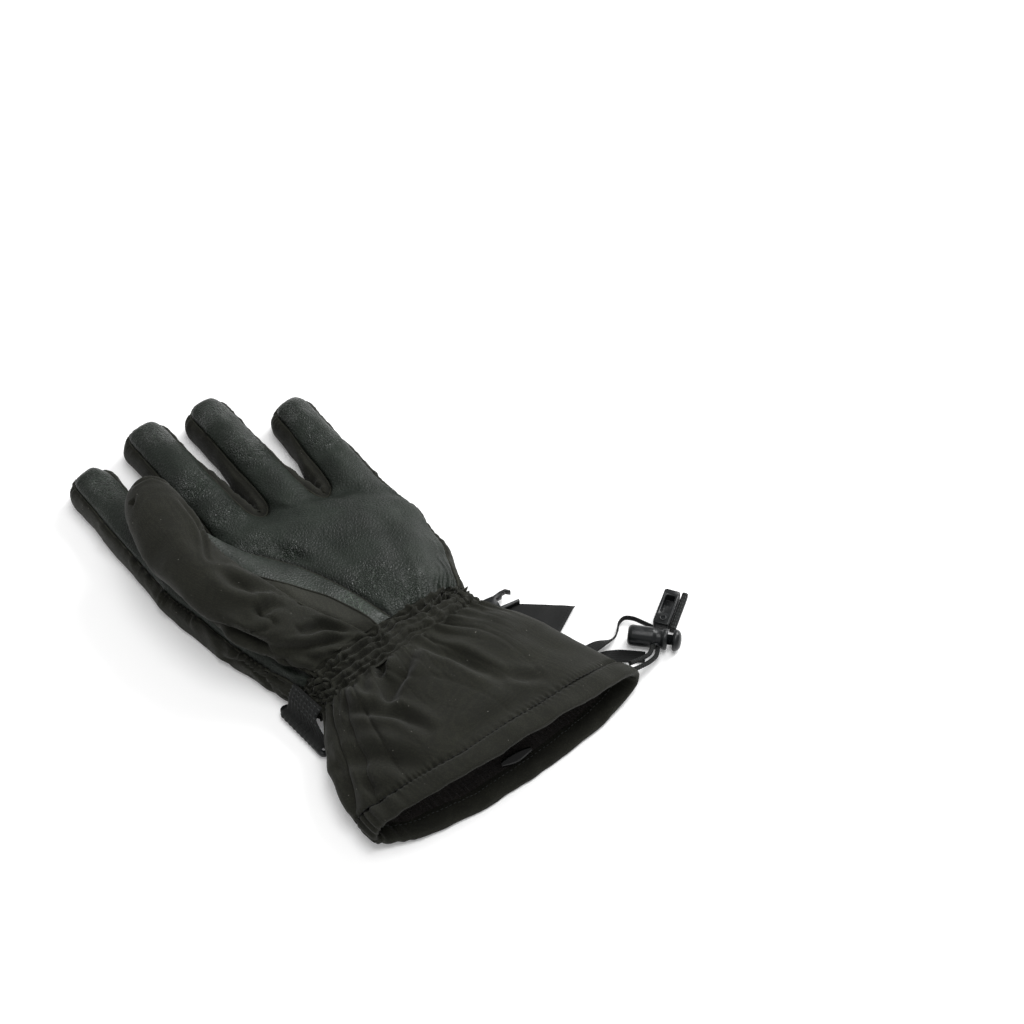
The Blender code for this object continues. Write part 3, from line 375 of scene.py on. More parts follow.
    angles = (-52.0, 28.0, 90.0, 176.0, 232.0)
    full = []
    for part in range(4):
        for i in range(thumb_parts[part]):
            full.append(mix(angles[part], angles[part + 1], i / thumb_parts[part]))
    under = crease_col - 1
    full += [mix(232.0, 308.0, i / under) for i in range(under)]
    base = rings[-1] + [top[c, THUMB_ROW] for c in range(2, crease_col)]
    for row in THUMB_TUBE[:-1]:
        y, cx, cz, rx, rz = row
        new = [s.point(cx + rx * math.cos(math.radians(t)), y, cz + rz * math.sin(math.radians(t)))
               for t in full]
        for i in range(len(full)):
            k = (i + 1) % len(full)
            s.face("thumb_shell", base[k], base[i], new[i], new[k])
        base = new
    tip = s.point(THUMB_TUBE[-1][1], THUMB_TUBE[-1][0], THUMB_TUBE[-1][2])
    for i in range(len(full)):
        s.face("thumb_shell", base[(i + 1) % len(full)], base[i], tip)
    return s


def cuff_outline(angle, y):
    """Point of the outer cuff surface at an angle round it and a length y."""
    lo, hi = table_at(CUFF_SECTIONS, y, 1), table_at(CUFF_SECTIONS, y, 2)
    side, crown = table_at(CUFF_SECTIONS, y, 3), table_at(CUFF_SECTIONS, y, 4)
    mid, half = (lo + hi) / 2, (hi - lo) / 2
    c, t = math.cos(angle), math.sin(angle)
    x = mid + half * c
    if t >= 0:
        power = mix(2.3, 1.8, smooth((CUFF_Y - y) / (0.8 * CUFF_LENGTH)))
        z = side + (crown - side) * max(0.0, 1 - abs(c) ** power) ** (1 / power)
    else:
        power = 3.6
        z = side * (1 - max(0.0, 1 - abs(c) ** power) ** (1 / power))
    return Vector((x, y, z))


# fold: angle in degrees, depth (of cuff height), width in degrees, start and end (of cuff length)
CUFF_FOLDS = (
    (112, -0.07, 8, 0, 0.545),
    (128, 0.043, 9, 0.023, 0.614),
    (97, 0.049, 9, 0, 0.455),
    (74, -0.049, 8, 0, 0.5),
    (60, 0.032, 10, 0, 0.545),
    (148, -0.038, 9, 0.295, 0.977),
    (40, -0.032, 9, 0.182, 0.807),
)


def fold_depth(angle, y):
    deg = math.degrees(angle) % 360
    total = 0.0
    for at, depth, width, y0, y1 in CUFF_FOLDS:
        t = ((CUFF_Y - y) / CUFF_LENGTH - y0) / (y1 - y0)
        if 0 < t < 1:
            total += depth * CUFF_HEIGHT * math.exp(-((deg - at) / width) ** 2) * math.sin(math.pi * t ** 0.7)
    return total


def lip_y(angle, x):
    t = smooth((math.sin(angle) + 0.25) / 0.5)
    return mix(table_at(LIP_LINE, x, 2), table_at(LIP_LINE, x, 1), t)


# folds seen on thumb, palm and cuff: width, depth, ridge beside it, points on the cloth
THUMB_FOLDS = (
    (2.6, 2.6, 1.0, ((-53.5, -8.3, 43.5), (-50.2, -10.6, 43.8), (-42.6, -10.3, 43.7), (-35.9, -11.1, 41.6))),
    (2.4, 2.4, 1.2, ((-41.5, -28.3, 37.0), (-35.4, -30.0, 36.8), (-26.8, -30.0, 35.5), (-20.4, -36.3, 32.3),
                     (-12.9, -42.8, 29.2))),
    (2.6, 6.5, 1.6, ((-69.5, 8.0, 33.0), (-67.4, -4.4, 36.5), (-64.0, -11.6, 36.0), (-58.4, -20.6, 34.5),
                     (-54.6, -25.4, 33.6))),
    (2.0, 2.6, 1.0, ((-54.6, -25.4, 33.6), (-44.0, -34.4, 32.2), (-38.1, -36.5, 32.5), (-26.3, -40.6, 30.8),
                     (-16.3, -43.9, 29.0))),
    (2.0, 1.8, 0.8, ((-47.9, -34.5, 30.6), (-41.7, -39.3, 29.3), (-36.4, -43.6, 27.5))),
    (2.2, 1.5, 0.8, ((-52.6, -26.9, 22.0), (-47.6, -35.8, 23.8), (-42.8, -43.7, 25.2))),
    (3.4, 1.8, 1.0, ((-50.8, 24.0, 50.0), (-50.4, 12.3, 48.6), (-44.8, 3.4, 46.2), (-37.7, -1.7, 42.8))),
    (1.6, 2.4, 0.5, ((-62.8, 87.2, 49.4), (-61.4, 88.5, 50.4), (-60.4, 89.6, 50.8))),
    (1.3, 0.9, 0.4, ((-56.0, 100.0, 50.0), (-48.6, 97.6, 50.6), (-41.2, 95.8, 49.2), (-38.0, 88.0, 47.0))),
    (1.3, 0.9, 0.5, ((-41.0, 76.0, 47.0), (-42.0, 62.0, 47.0), (-43.7, 48.6, 47.8), (-50.4, 34.1, 50.3),
                     (-52.2, 27.1, 50.3))),
    (7.0, -1.6, 0.0, ((-61.6, -0.6, 42.6), (-57.5, -11.7, 40.4), (-49.6, -22.5, 38.0), (-37.4, -34.1, 34.4))),
    (5.0, -1.2, 0.0, ((-53.0, 2.0, 47.5), (-45.0, -4.0, 45.0), (-33.0, -14.0, 40.0))),
)
PALM_FOLDS = (
    (6.5, -1.5, 0.0, ((-20.0, 41.0, 26.0), (-11.2, 37.2, 26.7), (9.6, 30.0, 27.2), (33.1, 17.5, 27.2),
                      (52.7, 8.6, 23.6))),
    (3.2, 1.7, 0.7, ((-15.8, 31.5, 27.0), (-12.8, 27.5, 27.5), (-9.2, 20.4, 28.0), (-4.4, 9.3, 28.5))),
    (6.0, -0.9, 0.0, ((9.6, 42.7, 25.5), (25.7, 39.4, 26.1), (42.1, 33.1, 24.4))),
    (6.0, 1.1, 0.0, ((5.2, 22.3, 27.8), (8.9, 13.3, 28.3), (10.0, -6.0, 29.1), (15.4, -22.7, 29.2))),
    (5.0, 0.8, 0.0, ((-22.0, 52.0, 25.0), (-16.0, 44.0, 25.6), (-4.0, 38.0, 26.0))),
    (5.0, 0.7, 0.0, ((22.0, 54.0, 25.0), (34.0, 46.0, 25.6), (50.0, 40.0, 24.0))),
    (5.5, 0.8, 0.0, ((40.0, 22.0, 25.0), (38.0, 4.0, 26.0), (34.0, -14.0, 27.0), (30.0, -30.0, 27.0))),
    (1.6, 1.0, 0.5, ((-62.0, 84.0, 22.0), (-56.0, 82.5, 24.5), (-47.0, 84.0, 22.0))),
    (2.0, 0.9, 0.4, ((-28.0, 95.0, 22.0), (-18.0, 92.0, 25.5), (-7.0, 94.0, 22.0))),
    (2.0, 0.9, 0.4, ((9.0, 88.0, 22.0), (19.0, 85.0, 25.5), (29.0, 88.0, 22.0))),
    (2.0, 0.9, 0.4, ((45.0, 74.0, 22.0), (55.0, 71.0, 25.0), (65.0, 74.0, 22.0))),
)
CUFF_CREASES = (
    (3.4, 2.6, 1.4, ((6.8, -62.5, 28.2), (7.8, -75.0, 30.3), (13.1, -84.5, 31.2), (16.0, -97.0, 33.2),
                     (19.1, -109.1, 34.6), (22.6, -116.6, 35.2))),
    (2.4, 3.0, 1.4, ((-9.1, -58.9, 27.6), (-14.5, -63.6, 27.3), (-23.0, -71.5, 28.0))),
    (3.8, 3.2, 1.6, ((1.1, -66.1, 30.0), (-8.9, -75.8, 32.7), (-21.8, -79.8, 29.3), (-33.3, -89.7, 31.0))),
    (3.0, 2.4, 1.4, ((-41.8, -66.3, 24.2), (-44.0, -78.0, 28.0), (-38.0, -86.6, 30.8), (-34.8, -90.6, 31.2),
                     (-29.4, -97.8, 31.9), (-25.7, -119.0, 34.7))),
    (2.6, 1.6, 0.9, ((-31.8, -60.0, 26.6), (-32.2, -66.3, 26.5), (-34.3, -77.6, 29.5), (-37.5, -86.0, 30.7))),
    (5.5, -1.8, 0.0, ((-37.0, -64.0, 25.0), (-38.0, -74.0, 28.0), (-33.0, -84.0, 30.0))),
    (4.2, 2.0, 1.2, ((-66.1, -92.0, 20.7), (-60.9, -99.7, 24.5), (-53.1, -106.1, 28.7), (-45.6, -118.3, 31.1),
                     (-39.6, -130.3, 32.7))),
    (2.6, 1.6, 0.9, ((-69.9, -101.0, 19.4), (-70.8, -108.2, 19.8), (-72.8, -116.8, 18.6),
                     (-74.7, -121.2, 16.8))),
    (2.4, 1.3, 0.9, ((-65.1, -84.2, 17.6), (-67.7, -98.3, 20.7), (-68.6, -107.6, 21.3),
                     (-67.6, -118.0, 22.3))),
    (2.2, 1.1, 0.8, ((-63.0, -106.0, 23.0), (-64.0, -114.0, 23.5), (-62.0, -123.0, 24.5))),
    (6.0, -1.2, 0.0, ((36.1, -60.9, 23.4), (45.3, -72.3, 24.7), (48.0, -94.2, 28.2))),
    (4.5, 1.5, 0.6, ((-18.8, -131.3, 35.8), (6.3, -130.3, 36.8), (17.1, -130.9, 36.2), (33.2, -132.4, 34.8))),
    (3.0, 1.1, 0.5, ((24.0, -112.0, 34.8), (30.0, -120.0, 34.0), (40.0, -126.0, 32.5))),
)
# rubbed, crazed patches of the leather: middle, reach along x and y
WORN = (
    ((-20.0, 96.0), 9.0, 10.0), ((-16.0, 70.0), 10.0, 8.0), ((-12.0, 140.0), 9.0, 10.0),
    ((19.0, 100.0), 9.0, 13.0), ((20.0, 134.0), 9.0, 9.0), ((56.0, 82.0), 8.0, 9.0),
    ((57.0, 104.0), 8.0, 7.0), ((-56.0, 92.0), 7.0, 10.0), ((-55.0, 128.0), 8.0, 12.0),
    ((-20.0, 39.0), 10.0, 8.0),
    ((-8.0, 22.0), 7.0, 5.0), ((12.0, -20.0), 12.0, 10.0), ((22.0, -33.0), 12.0, 9.0),
    ((-5.0, -28.0), 7.0, 12.0), ((12.0, 152.0), 8.0, 6.0), ((58.0, 112.0), 8.0, 5.0),
)
# middle x, crotch y and reach of the ruched cloth between two fingers
WEBS = ((-39.0, 60.0, 46.0), (0.5, 61.5, 48.0), (34.5, 52.0, 32.0))


# cloth as arrays
def to_object(name, points, faces, finish=None):
    mesh = bpy.data.meshes.new(name)
    corners = [tuple(int(i) for i in f) for f in faces]
    mesh.from_pydata([tuple(p) for p in np.asarray(points) * MM], [], corners)
    mesh.polygons.foreach_set("use_smooth", [True] * len(mesh.polygons))
    mesh.update()
    if finish:
        mesh.materials.append(material(finish))
    obj = bpy.data.objects.new(name, mesh)
    bpy.context.scene.collection.objects.link(obj)
    return obj


def faced_outward(obj):
    """Turns the faces of a closed piece outward."""
    bm = bmesh.new()
    bm.from_mesh(obj.data)
    bmesh.ops.recalc_face_normals(bm, faces=bm.faces)
    bm.to_mesh(obj.data)
    bm.free()
    return obj


def applied(obj):
    """The object's mesh with its modifiers in it."""
    deps = bpy.context.evaluated_depsgraph_get()
    deps.update()
    mesh = bpy.data.meshes.new_from_object(obj.evaluated_get(deps), depsgraph=deps)
    old = obj.data
    obj.modifiers.clear()
    obj.data = mesh
    if old.users == 0:
        bpy.data.meshes.remove(old)
    return obj


def arrays(obj):
    mesh = obj.data
    points = np.empty(len(mesh.vertices) * 3)
    mesh.vertices.foreach_get("co", points)
    labels = np.empty(len(mesh.polygons), dtype=np.int32)
    mesh.polygons.foreach_get("material_index", labels)
    faces = np.empty(len(mesh.loops), dtype=np.int32)
    mesh.loops.foreach_get("vertex_index", faces)
    return points.reshape(-1, 3) / MM, faces.reshape(len(mesh.polygons), -1), labels


def discard(obj):
    mesh = obj.data
    bpy.data.objects.remove(obj)
    bpy.data.meshes.remove(mesh)


def refine(points, faces, labels, levels):
    """Smooth subdivision that keeps the face labels."""
    obj = to_object("refine", points, faces)
    for _ in range(int(max(labels)) + 1):
        obj.data.materials.append(None)
    obj.data.polygons.foreach_set("material_index", np.asarray(labels, dtype=np.int32))
    mod = obj.modifiers.new("smooth", "SUBSURF")
    mod.levels = mod.render_levels = levels
    out = arrays(applied(obj))
    discard(obj)
    return out


def normals_of(points, faces):
    a, b, c, d = (points[faces[:, k]] for k in range(4))
    n = np.cross(c - a, d - b)
    out = np.zeros_like(points)
    for k in range(4):
        np.add.at(out, faces[:, k], n)
    return out / np.maximum(np.linalg.norm(out, axis=1), 1e-9)[:, None]


PUFF_FRAMES = 20


def puff(points, faces, pins, cap, growth):
    """Fills the cloth with air; pinned seams stay, nothing moves further than the cap."""
    obj = to_object("puff", points, faces)
    group = obj.vertex_groups.new(name="seams")
    for i, w in enumerate(pins):
        if w > 0:
            group.add([i], float(w), "REPLACE")
    mod = obj.modifiers.new("cloth", "CLOTH")
    cloth = mod.settings
    cloth.quality = 5
    cloth.mass = 0.3
    cloth.tension_stiffness = cloth.compression_stiffness = 18
    cloth.shear_stiffness = 6
    cloth.bending_stiffness = 0.35
    cloth.shrink_min = growth
    cloth.vertex_group_mass = "seams"
    cloth.use_pressure = True
    cloth.uniform_pressure_force = 4.0
    cloth.effector_weights.gravity = 0.0
    scene = bpy.context.scene
    for f in range(1, PUFF_FRAMES + 1):
        scene.frame_set(f)
    moved = arrays(applied(obj))[0]
    scene.frame_set(1)
    discard(obj)
    step = moved - points
    length = np.linalg.norm(step, axis=1)
    step *= (np.minimum(length, cap) / np.maximum(length, 1e-9))[:, None]
    return points + np.nan_to_num(step)


def relaxed(points, faces, rounds, hold):
    """Evens out the cloth; hold (0 to 1) keeps a point back."""
    pairs = np.vstack([faces[:, (k, (k + 1) % 4)] for k in range(4)])
    pairs = np.unique(np.sort(pairs, axis=1), axis=0)
    count = np.bincount(pairs.ravel(), minlength=len(points))[:, None]
    free = (0.5 * (1 - hold))[:, None]
    for _ in range(rounds):
        total = np.zeros_like(points)
        np.add.at(total, pairs[:, 0], points[pairs[:, 1]])
        np.add.at(total, pairs[:, 1], points[pairs[:, 0]])
        points = points + (total / count - points) * free
    return points


def ridges(points, size, seed):
    """Crumple of thin cloth: sharp low lines between flat places, 0 to 1."""
    off = Vector((seed * 3.7, seed * 9.1, seed * 2.3))
    out = []
    for p in points:
        v = Vector(p) / size + off
        bend = Vector((noise.noise(v * 0.6), noise.noise(v * 0.6 + Vector((5, 5, 5))), 0)) * 0.8
        out.append(1 - min(1.0, abs(noise.noise(v + bend)) * 3.2))
    return np.array(out)


def line_distance(points, line):
    """Distance of each point to a polyline, and how far along it the nearest place is (0 to 1)."""
    line = np.asarray(line, float)
    seg = np.linalg.norm(np.diff(line, axis=0), axis=1)
    run = np.concatenate([[0], np.cumsum(seg)])
    best = np.full(len(points), 1e9)
    at = np.zeros(len(points))
    for k in range(len(seg)):
        d = line[k + 1] - line[k]
        t = np.clip(((points - line[k]) @ d) / (d @ d), 0, 1)
        dist = np.linalg.norm(points - line[k] - t[:, None] * d, axis=1)
        near = dist < best
        best[near] = dist[near]
        at[near] = (run[k] + t[near] * seg[k]) / run[-1]
    return best, at


def smooth_line(rows, steps=5):
    pts = [np.asarray(r, float) for r in rows]
    pts = [2 * pts[0] - pts[1]] + pts + [2 * pts[-1] - pts[-2]]
    out = []
    for k in range(1, len(pts) - 2):
        a, b, c, d = pts[k - 1:k + 3]
        for i in range(steps):
            t = i / steps
            out.append(0.5 * (2 * b + (c - a) * t + (2 * a - 5 * b + 4 * c - d) * t * t
                              + (3 * b - a - 3 * c + d) * t ** 3))
    return np.array(out + [pts[-2]])


def evened(line):
    """The line with its small steps smoothed out and its ends kept."""
    for _ in range(3):
        line[1:-1] = (line[:-2] + 2 * line[1:-1] + line[2:]) / 4
    return line


def laid_on(points, line):
    """The line moved onto the nearest places of the surface."""
    return evened(points[[int(np.argmin(((points - p) ** 2).sum(axis=1))) for p in line]])


def press_folds(points, folds, mask):
    """Depth of all folds at each point, along the normals."""
    out = np.zeros(len(points))
    for width, depth, ridge, line in folds:
        dist, at = line_distance(points, laid_on(points, smooth_line(line)))
        taper = np.clip(np.sin(np.pi * at), 0, 1) ** 0.6
        out -= depth * np.exp(-(dist / width) ** 2) * taper
        out += ridge * np.exp(-((dist - 2.1 * width) / width) ** 2) * taper
    return out * mask


def wobble(points, size, seed):
    """Smooth noise, one value for each point."""
    off = Vector((seed * 7.3, seed * 3.1, seed * 5.7))
    return np.array([noise.noise(Vector(p) / size + off) for p in points])


def round_the_wrist(points):
    """Angle round the glove's lengthwise axis, from the local width and height."""
    y = points[:, 1]
    rows = sorted([(r[0], r[1], r[2]) for r in PALM_ROWS] + [(r[0], r[1], r[2]) for r in CUFF_SECTIONS])
    ys, lo, hi = (np.array(c) for c in zip(*rows))
    left, right = np.interp(y, ys, lo), np.interp(y, ys, hi)
    x = (points[:, 0] - (left + right) / 2) / ((right - left) / 2)
    return np.arctan2((points[:, 2] - WRIST_MIDDLE) / 14.0, x)


def ring_noise(t, size, seed):
    """Noise at an angle round the wrist; it closes on itself."""
    return noise.noise(Vector((math.cos(t) * size, math.sin(t) * size, seed)))


def flutes(points, depth):
    """Small pleats that fan out of the wrist gathers to both sides."""
    a = round_the_wrist(points)
    y = points[:, 1]
    away = np.where(y > WRIST_Y, y - WRIST_Y, np.where(y < CUFF_Y, CUFF_Y - y, 0.0))
    near = np.nonzero(away < 46)[0]
    out = np.zeros(len(points))
    side = np.where(y > -54, 1.0, 2.0)
    for i in near:
        t = a[i]
        phase = 36 * t + 5.0 * ring_noise(t, 3, 4.0) + 2.4 * ring_noise(t, 2.2, y[i] / 26)
        reach = 11 + 13 * ring_noise(t, 5, 9.0 + side[i])
        reach = max(4.0, reach) * (1.0 if side[i] == 1.0 else 0.75)
        size = 0.75 + 0.9 * ring_noise(t, 6, 2.0)
        wave = (0.5 + 0.5 * math.sin(phase)) ** 1.6 - 0.42
        out[i] = depth * size * wave * math.exp(-(away[i] / reach) ** 1.3)
    under = np.clip((points[:, 2] - 1.0) / 7.0, 0.12, 1)
    return out * under


def lowest_at_floor(points, low=0.15):
    points[:, 2] = np.maximum(points[:, 2], low)
    return points


class Hand:
    """The sculpted hand, kept for the pieces that are cut from it."""
    points = faces = labels = normals = edges = dist = None


def label_edges(faces, labels):
    """Edges between two labels, and open edges, each with its pair of labels."""
    seen = {}
    for f, l in zip(faces.tolist(), labels.tolist()):
        for a, b in zip(f, f[1:] + f[:1]):
            seen.setdefault((a, b) if a < b else (b, a), []).append(l)
    return {e: tuple(sorted(ls)) for e, ls in seen.items() if len(ls) == 1 or ls[0] != ls[1]}


def chains(edges):
    """Joins edges end to end into runs of vertices."""
    near = {}
    for a, b in edges:
        near.setdefault(a, []).append(b)
        near.setdefault(b, []).append(a)
    left = set(edges)
    out = []

    def take(a, b):
        left.discard((a, b) if a < b else (b, a))

    ends = [v for v, n in near.items() if len(n) != 2]
    for start in ends + list(near):
        for nxt in near[start]:
            if ((start, nxt) if start < nxt else (nxt, start)) not in left:
                continue
            run = [start, nxt]
            take(start, nxt)
            while len(near[run[-1]]) == 2:
                a, b = near[run[-1]]
                step = a if b == run[-2] else b
                key = (run[-1], step) if run[-1] < step else (step, run[-1])
                if key not in left:
                    break
                take(run[-1], step)
                run.append(step)
            out.append(run)
    return out


LABELS = ("palm_panel", "back_shell", "thumb_crescent", "thumb_shell")


def along_seams(points, edge):
    """Distance of each point to the nearest seam, and how far along its run that place is."""
    seams = [e for e, pair in edge.items() if len(pair) == 2]
    ids = sorted(set(v for e in seams for v in e))
    tree = KDTree(len(ids))
    for k, i in enumerate(ids):
        tree.insert(Vector(points[i]), k)
    tree.balance()
    found = [tree.find(Vector(p)) for p in points]
    along = {}
    for run in chains(seams):
        gone = 0.0
        for a, b in zip(run, run[1:]):
            along.setdefault(a, gone)
            gone += float(np.linalg.norm(points[a] - points[b]))
        along.setdefault(run[-1], gone)
    return np.array([d for _, _, d in found]), np.array([along.get(ids[k], 0.0) for _, k, _ in found])


def padded_skin(sizes):
    """The hand's skin, puffed between its seams and evened out."""
    skin = hand_surface()
    used = sorted(set(i for f in skin.faces for i in f))
    where = {i: n for n, i in enumerate(used)}
    points = np.array([tuple(skin.points[i]) for i in used])
    quads = [[where[i] for i in f] for f in skin.faces]
    points, quads, labels = refine(points, quads, [LABELS.index(l) for l in skin.labels], 1)
    pins = np.zeros(len(points))
    for a, b in label_edges(quads, labels):
        pins[a] = pins[b] = 1.0
    on_floor = points[:, 2] < 0.6
    pins[on_floor] = np.maximum(pins[on_floor], 0.7)
    points = puff(points, quads, pins, sizes.puff_cap / MM, -sizes.spare_cloth)
    points, quads, labels = refine(points, quads, labels, 2)
    hold = np.where(points[:, 1] < WRIST_Y + 4, 1.0, 0.0)
    points = lowest_at_floor(relaxed(points, quads, 10, hold))
    # only the fingertips are evened out further
    hold = np.ones(len(points))
    for _, _, tx, ty, _, tw, _, _ in FINGERS:
        lane = np.abs(points[:, 0] - tx) < tw + SIDE_BULGE + 2
        lane &= points[:, 2] < THUMB_TOP - THUMB_DEPTH
        short_of_tip = np.clip((ty - 1.5 * tw - points[:, 1]) / 6.0, 0, 1)
        hold = np.where(lane, np.minimum(hold, short_of_tip), hold)
    return lowest_at_floor(relaxed(points, quads, 26, hold)), quads, labels


def sculpt_hand(sizes):
    """Presses folds, seams and puckers into the hand and keeps it for the cut."""
    points, quads, labels = padded_skin(sizes)
    normals = normals_of(points, quads)
    edge = label_edges(quads, labels)
    dist, run = along_seams(points, edge)
    palm, back, strip, thumb = (np.zeros(len(points), bool) for _ in LABELS)
    for k, on in enumerate((palm, back, strip, thumb)):
        on[quads[labels == k].ravel()] = True
    x, y, z = points.T
    away = np.clip(dist / 2.5, 0, 1)
    depth = press_folds(points, THUMB_FOLDS, thumb * (0.2 + 0.8 * away)) * sizes.fold_depth * 1.35
    depth += press_folds(points, PALM_FOLDS, palm * (0.1 + 0.9 * away)) * sizes.fold_depth
    # creases from the thumb's base to the wrist
    low_thumb = np.clip((14.0 - y) / 28.0, 0, 1) * (thumb | (back & (x < -45)))
    low_thumb = low_thumb * np.clip((y - WRIST_Y - 3.0) / 8.0, 0, 1)
    lean = np.stack([0.61 * x + 0.79 * y, (0.79 * x - 0.61 * y) * 0.3, z * 0.8], 1)
    depth -= low_thumb * away * (2.8 * ridges(lean, 13.0, 4) ** 5 + 0.9 * ridges(lean, 6.5, 5) ** 5)
    # cloth pulled in by the seams, and the small puckers beside them
    depth -= 0.9 * np.exp(-(dist / 4.0) ** 2) + 1.3 * np.exp(-(dist / 1.2) ** 2)
    pitch = 6.5 + 1.2 * np.sin(run * 0.11)
    pucker = np.sin(2 * np.pi * run / pitch + 2.0 * np.sin(run * 0.23))
    pucker *= np.exp(-((dist - 2.5) / 3.5) ** 2)
    soft = back | thumb
    outer = back & (x < -52) & (y < 112) & (y > -30)
    depth += pucker * np.where(outer, 1.5, np.where(soft, 0.34, 0.12))
    # the cloth between the fingers is ruched and fills the gap near each crotch
    for middle, crotch, reach in WEBS:
        t = (y - crotch) / reach
        web = back * np.clip((14.0 - np.abs(x - middle - 3.0 * t)) / 4.0, 0, 1)
        web = web * np.clip((z - 3.0) / 4.0, 0, 1) * np.clip((1.15 - t) / 0.45, 0, 1) * (t > -0.2)
        ruche = 0.75 * np.sin(y * 1.7 + 2.5 * np.sin(y * 0.37 + middle)) * np.exp(-np.abs(t) / 0.45)
        depth += web * (3.3 - 0.9 * np.clip(t, 0, 1) + ruche) * away
    # slow unevenness of padded cloth
    depth += 0.55 * wobble(points, 17.0, 1) * away
    depth += np.where(soft, 0.3, 0.12) * wobble(points, 6.0, 2) * away
    depth *= np.clip((z - 0.2) / 4.0, 0.0, 1)
    depth += flutes(points, sizes.gather_depth / MM) * np.where(palm | strip, 0.9, 0.8)
    Hand.points = lowest_at_floor(points + normals * depth[:, None])
    Hand.normals = normals_of(Hand.points, quads)
    Hand.faces, Hand.labels, Hand.edges, Hand.dist = quads, labels, edge, dist


def worn_at(points):
    """How crazed and rubbed the leather is, 0 to 1."""
    out = np.zeros(len(points))
    for (x, y), rx, ry in WORN:
        d = ((points[:, 0] - x) / rx) ** 2 + ((points[:, 1] - y) / ry) ** 2
        out = np.maximum(out, np.exp(-d))
    return out


def cut_cloth(name, keep, finish):
    """One piece of the hand, cut along its seams."""
    faces = Hand.faces[keep]
    used, inverse = np.unique(faces, return_inverse=True)
    faces = inverse.reshape(-1, 4)
    obj = to_object(name, Hand.points[used], faces, finish)
    attr = obj.data.attributes.new("worn", "FLOAT", "POINT")
    attr.data.foreach_set("value", worn_at(Hand.points[used]).astype(np.float32))
    # nearness to a seam; the finishes use it to paint the shade of the seam's groove
    attr = obj.data.attributes.new("seam", "FLOAT", "POINT")
    attr.data.foreach_set("value", np.exp(-(Hand.dist[used] / 1.1) ** 2).astype(np.float32))
    return obj


def finish_piece(obj, nodes=()):
    """Puts a piece on the body in place of its solids, which it hides."""
    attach(obj, BODY)
    if nodes:
        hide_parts(*nodes)
    return obj


# finishes
PALE_LINT = (0.32, 0.33, 0.33, 1.0)
WARM_LINT = (0.30, 0.29, 0.26, 1.0)
GREY_LINT = (0.25, 0.25, 0.24, 1.0)
BROWN_LINT = (0.25, 0.22, 0.2, 1.0)
DUST = (0.3, 0.3, 0.3, 1.0)


def tint(colour, k):
    return (*(c * k for c in colour[:3]), 1.0)


class Graph:
    """Adds nodes to one tree; an input takes a number, a colour or another node's socket."""

    def __init__(self, tree):
        self.tree = tree

    def put(self, node, inputs):
        for key, value in dict(inputs).items():
            if isinstance(value, bpy.types.NodeSocket):
                self.tree.links.new(value, node.inputs[key])
            else:
                node.inputs[key].default_value = value

    def node(self, kind, inputs=(), **settings):
        node = self.tree.nodes.new(kind)
        for key, value in settings.items():
            setattr(node, key, value)
        self.put(node, inputs)
        return node

    def maths(self, kind, *values):
        return self.node("ShaderNodeMath", enumerate(values), operation=kind).outputs[0]

    def mul(self, a, b):
        return self.maths("MULTIPLY", a, b)

    def add(self, a, b):
        return self.maths("ADD", a, b)

    def ramp(self, value, low, high, to_low=0.0, to_high=1.0):
        span = {"Value": value, "From Min": low, "From Max": high, "To Min": to_low, "To Max": to_high}
        return self.node("ShaderNodeMapRange", span, interpolation_type="SMOOTHSTEP").outputs["Result"]

    def cloud(self, at, scale, detail=3.0, rough=0.55, distort=0.0, output="Fac"):
        inputs = {"Vector": at, "Scale": scale, "Detail": detail, "Roughness": rough, "Distortion": distort}
        return self.node("ShaderNodeTexNoise", inputs).outputs[output]

    def cells(self, at, scale, feature="F1", spread=1.0):
        inputs = {"Vector": at, "Scale": scale, "Randomness": spread}
        return self.node("ShaderNodeTexVoronoi", inputs, feature=feature).outputs["Distance"]

    def blend(self, share, a, b):
        """Colour between a and b."""
        return self.node("ShaderNodeMix", {0: share, 6: a, 7: b}, data_type="RGBA").outputs[2]


def draw_weave(g, src):
    """Fine plain weave: small knots of yarn with slow unevenness."""
    at, threads = src["Vector"], src["Threads"]
    knots = g.ramp(g.cells(at, threads, "F1", 0.55), 0.05, 0.62, 1.0, 0.0)
    slub = g.cloud(at, g.mul(threads, 0.22), 2.0, 0.6)
    broad = g.cloud(at, 34.0, 3.0, 0.6)
    return {"Height": g.add(knots, g.mul(slub, src["Slub"])),
            "Tone": g.add(g.mul(knots, 0.45), g.mul(broad, 0.55))}


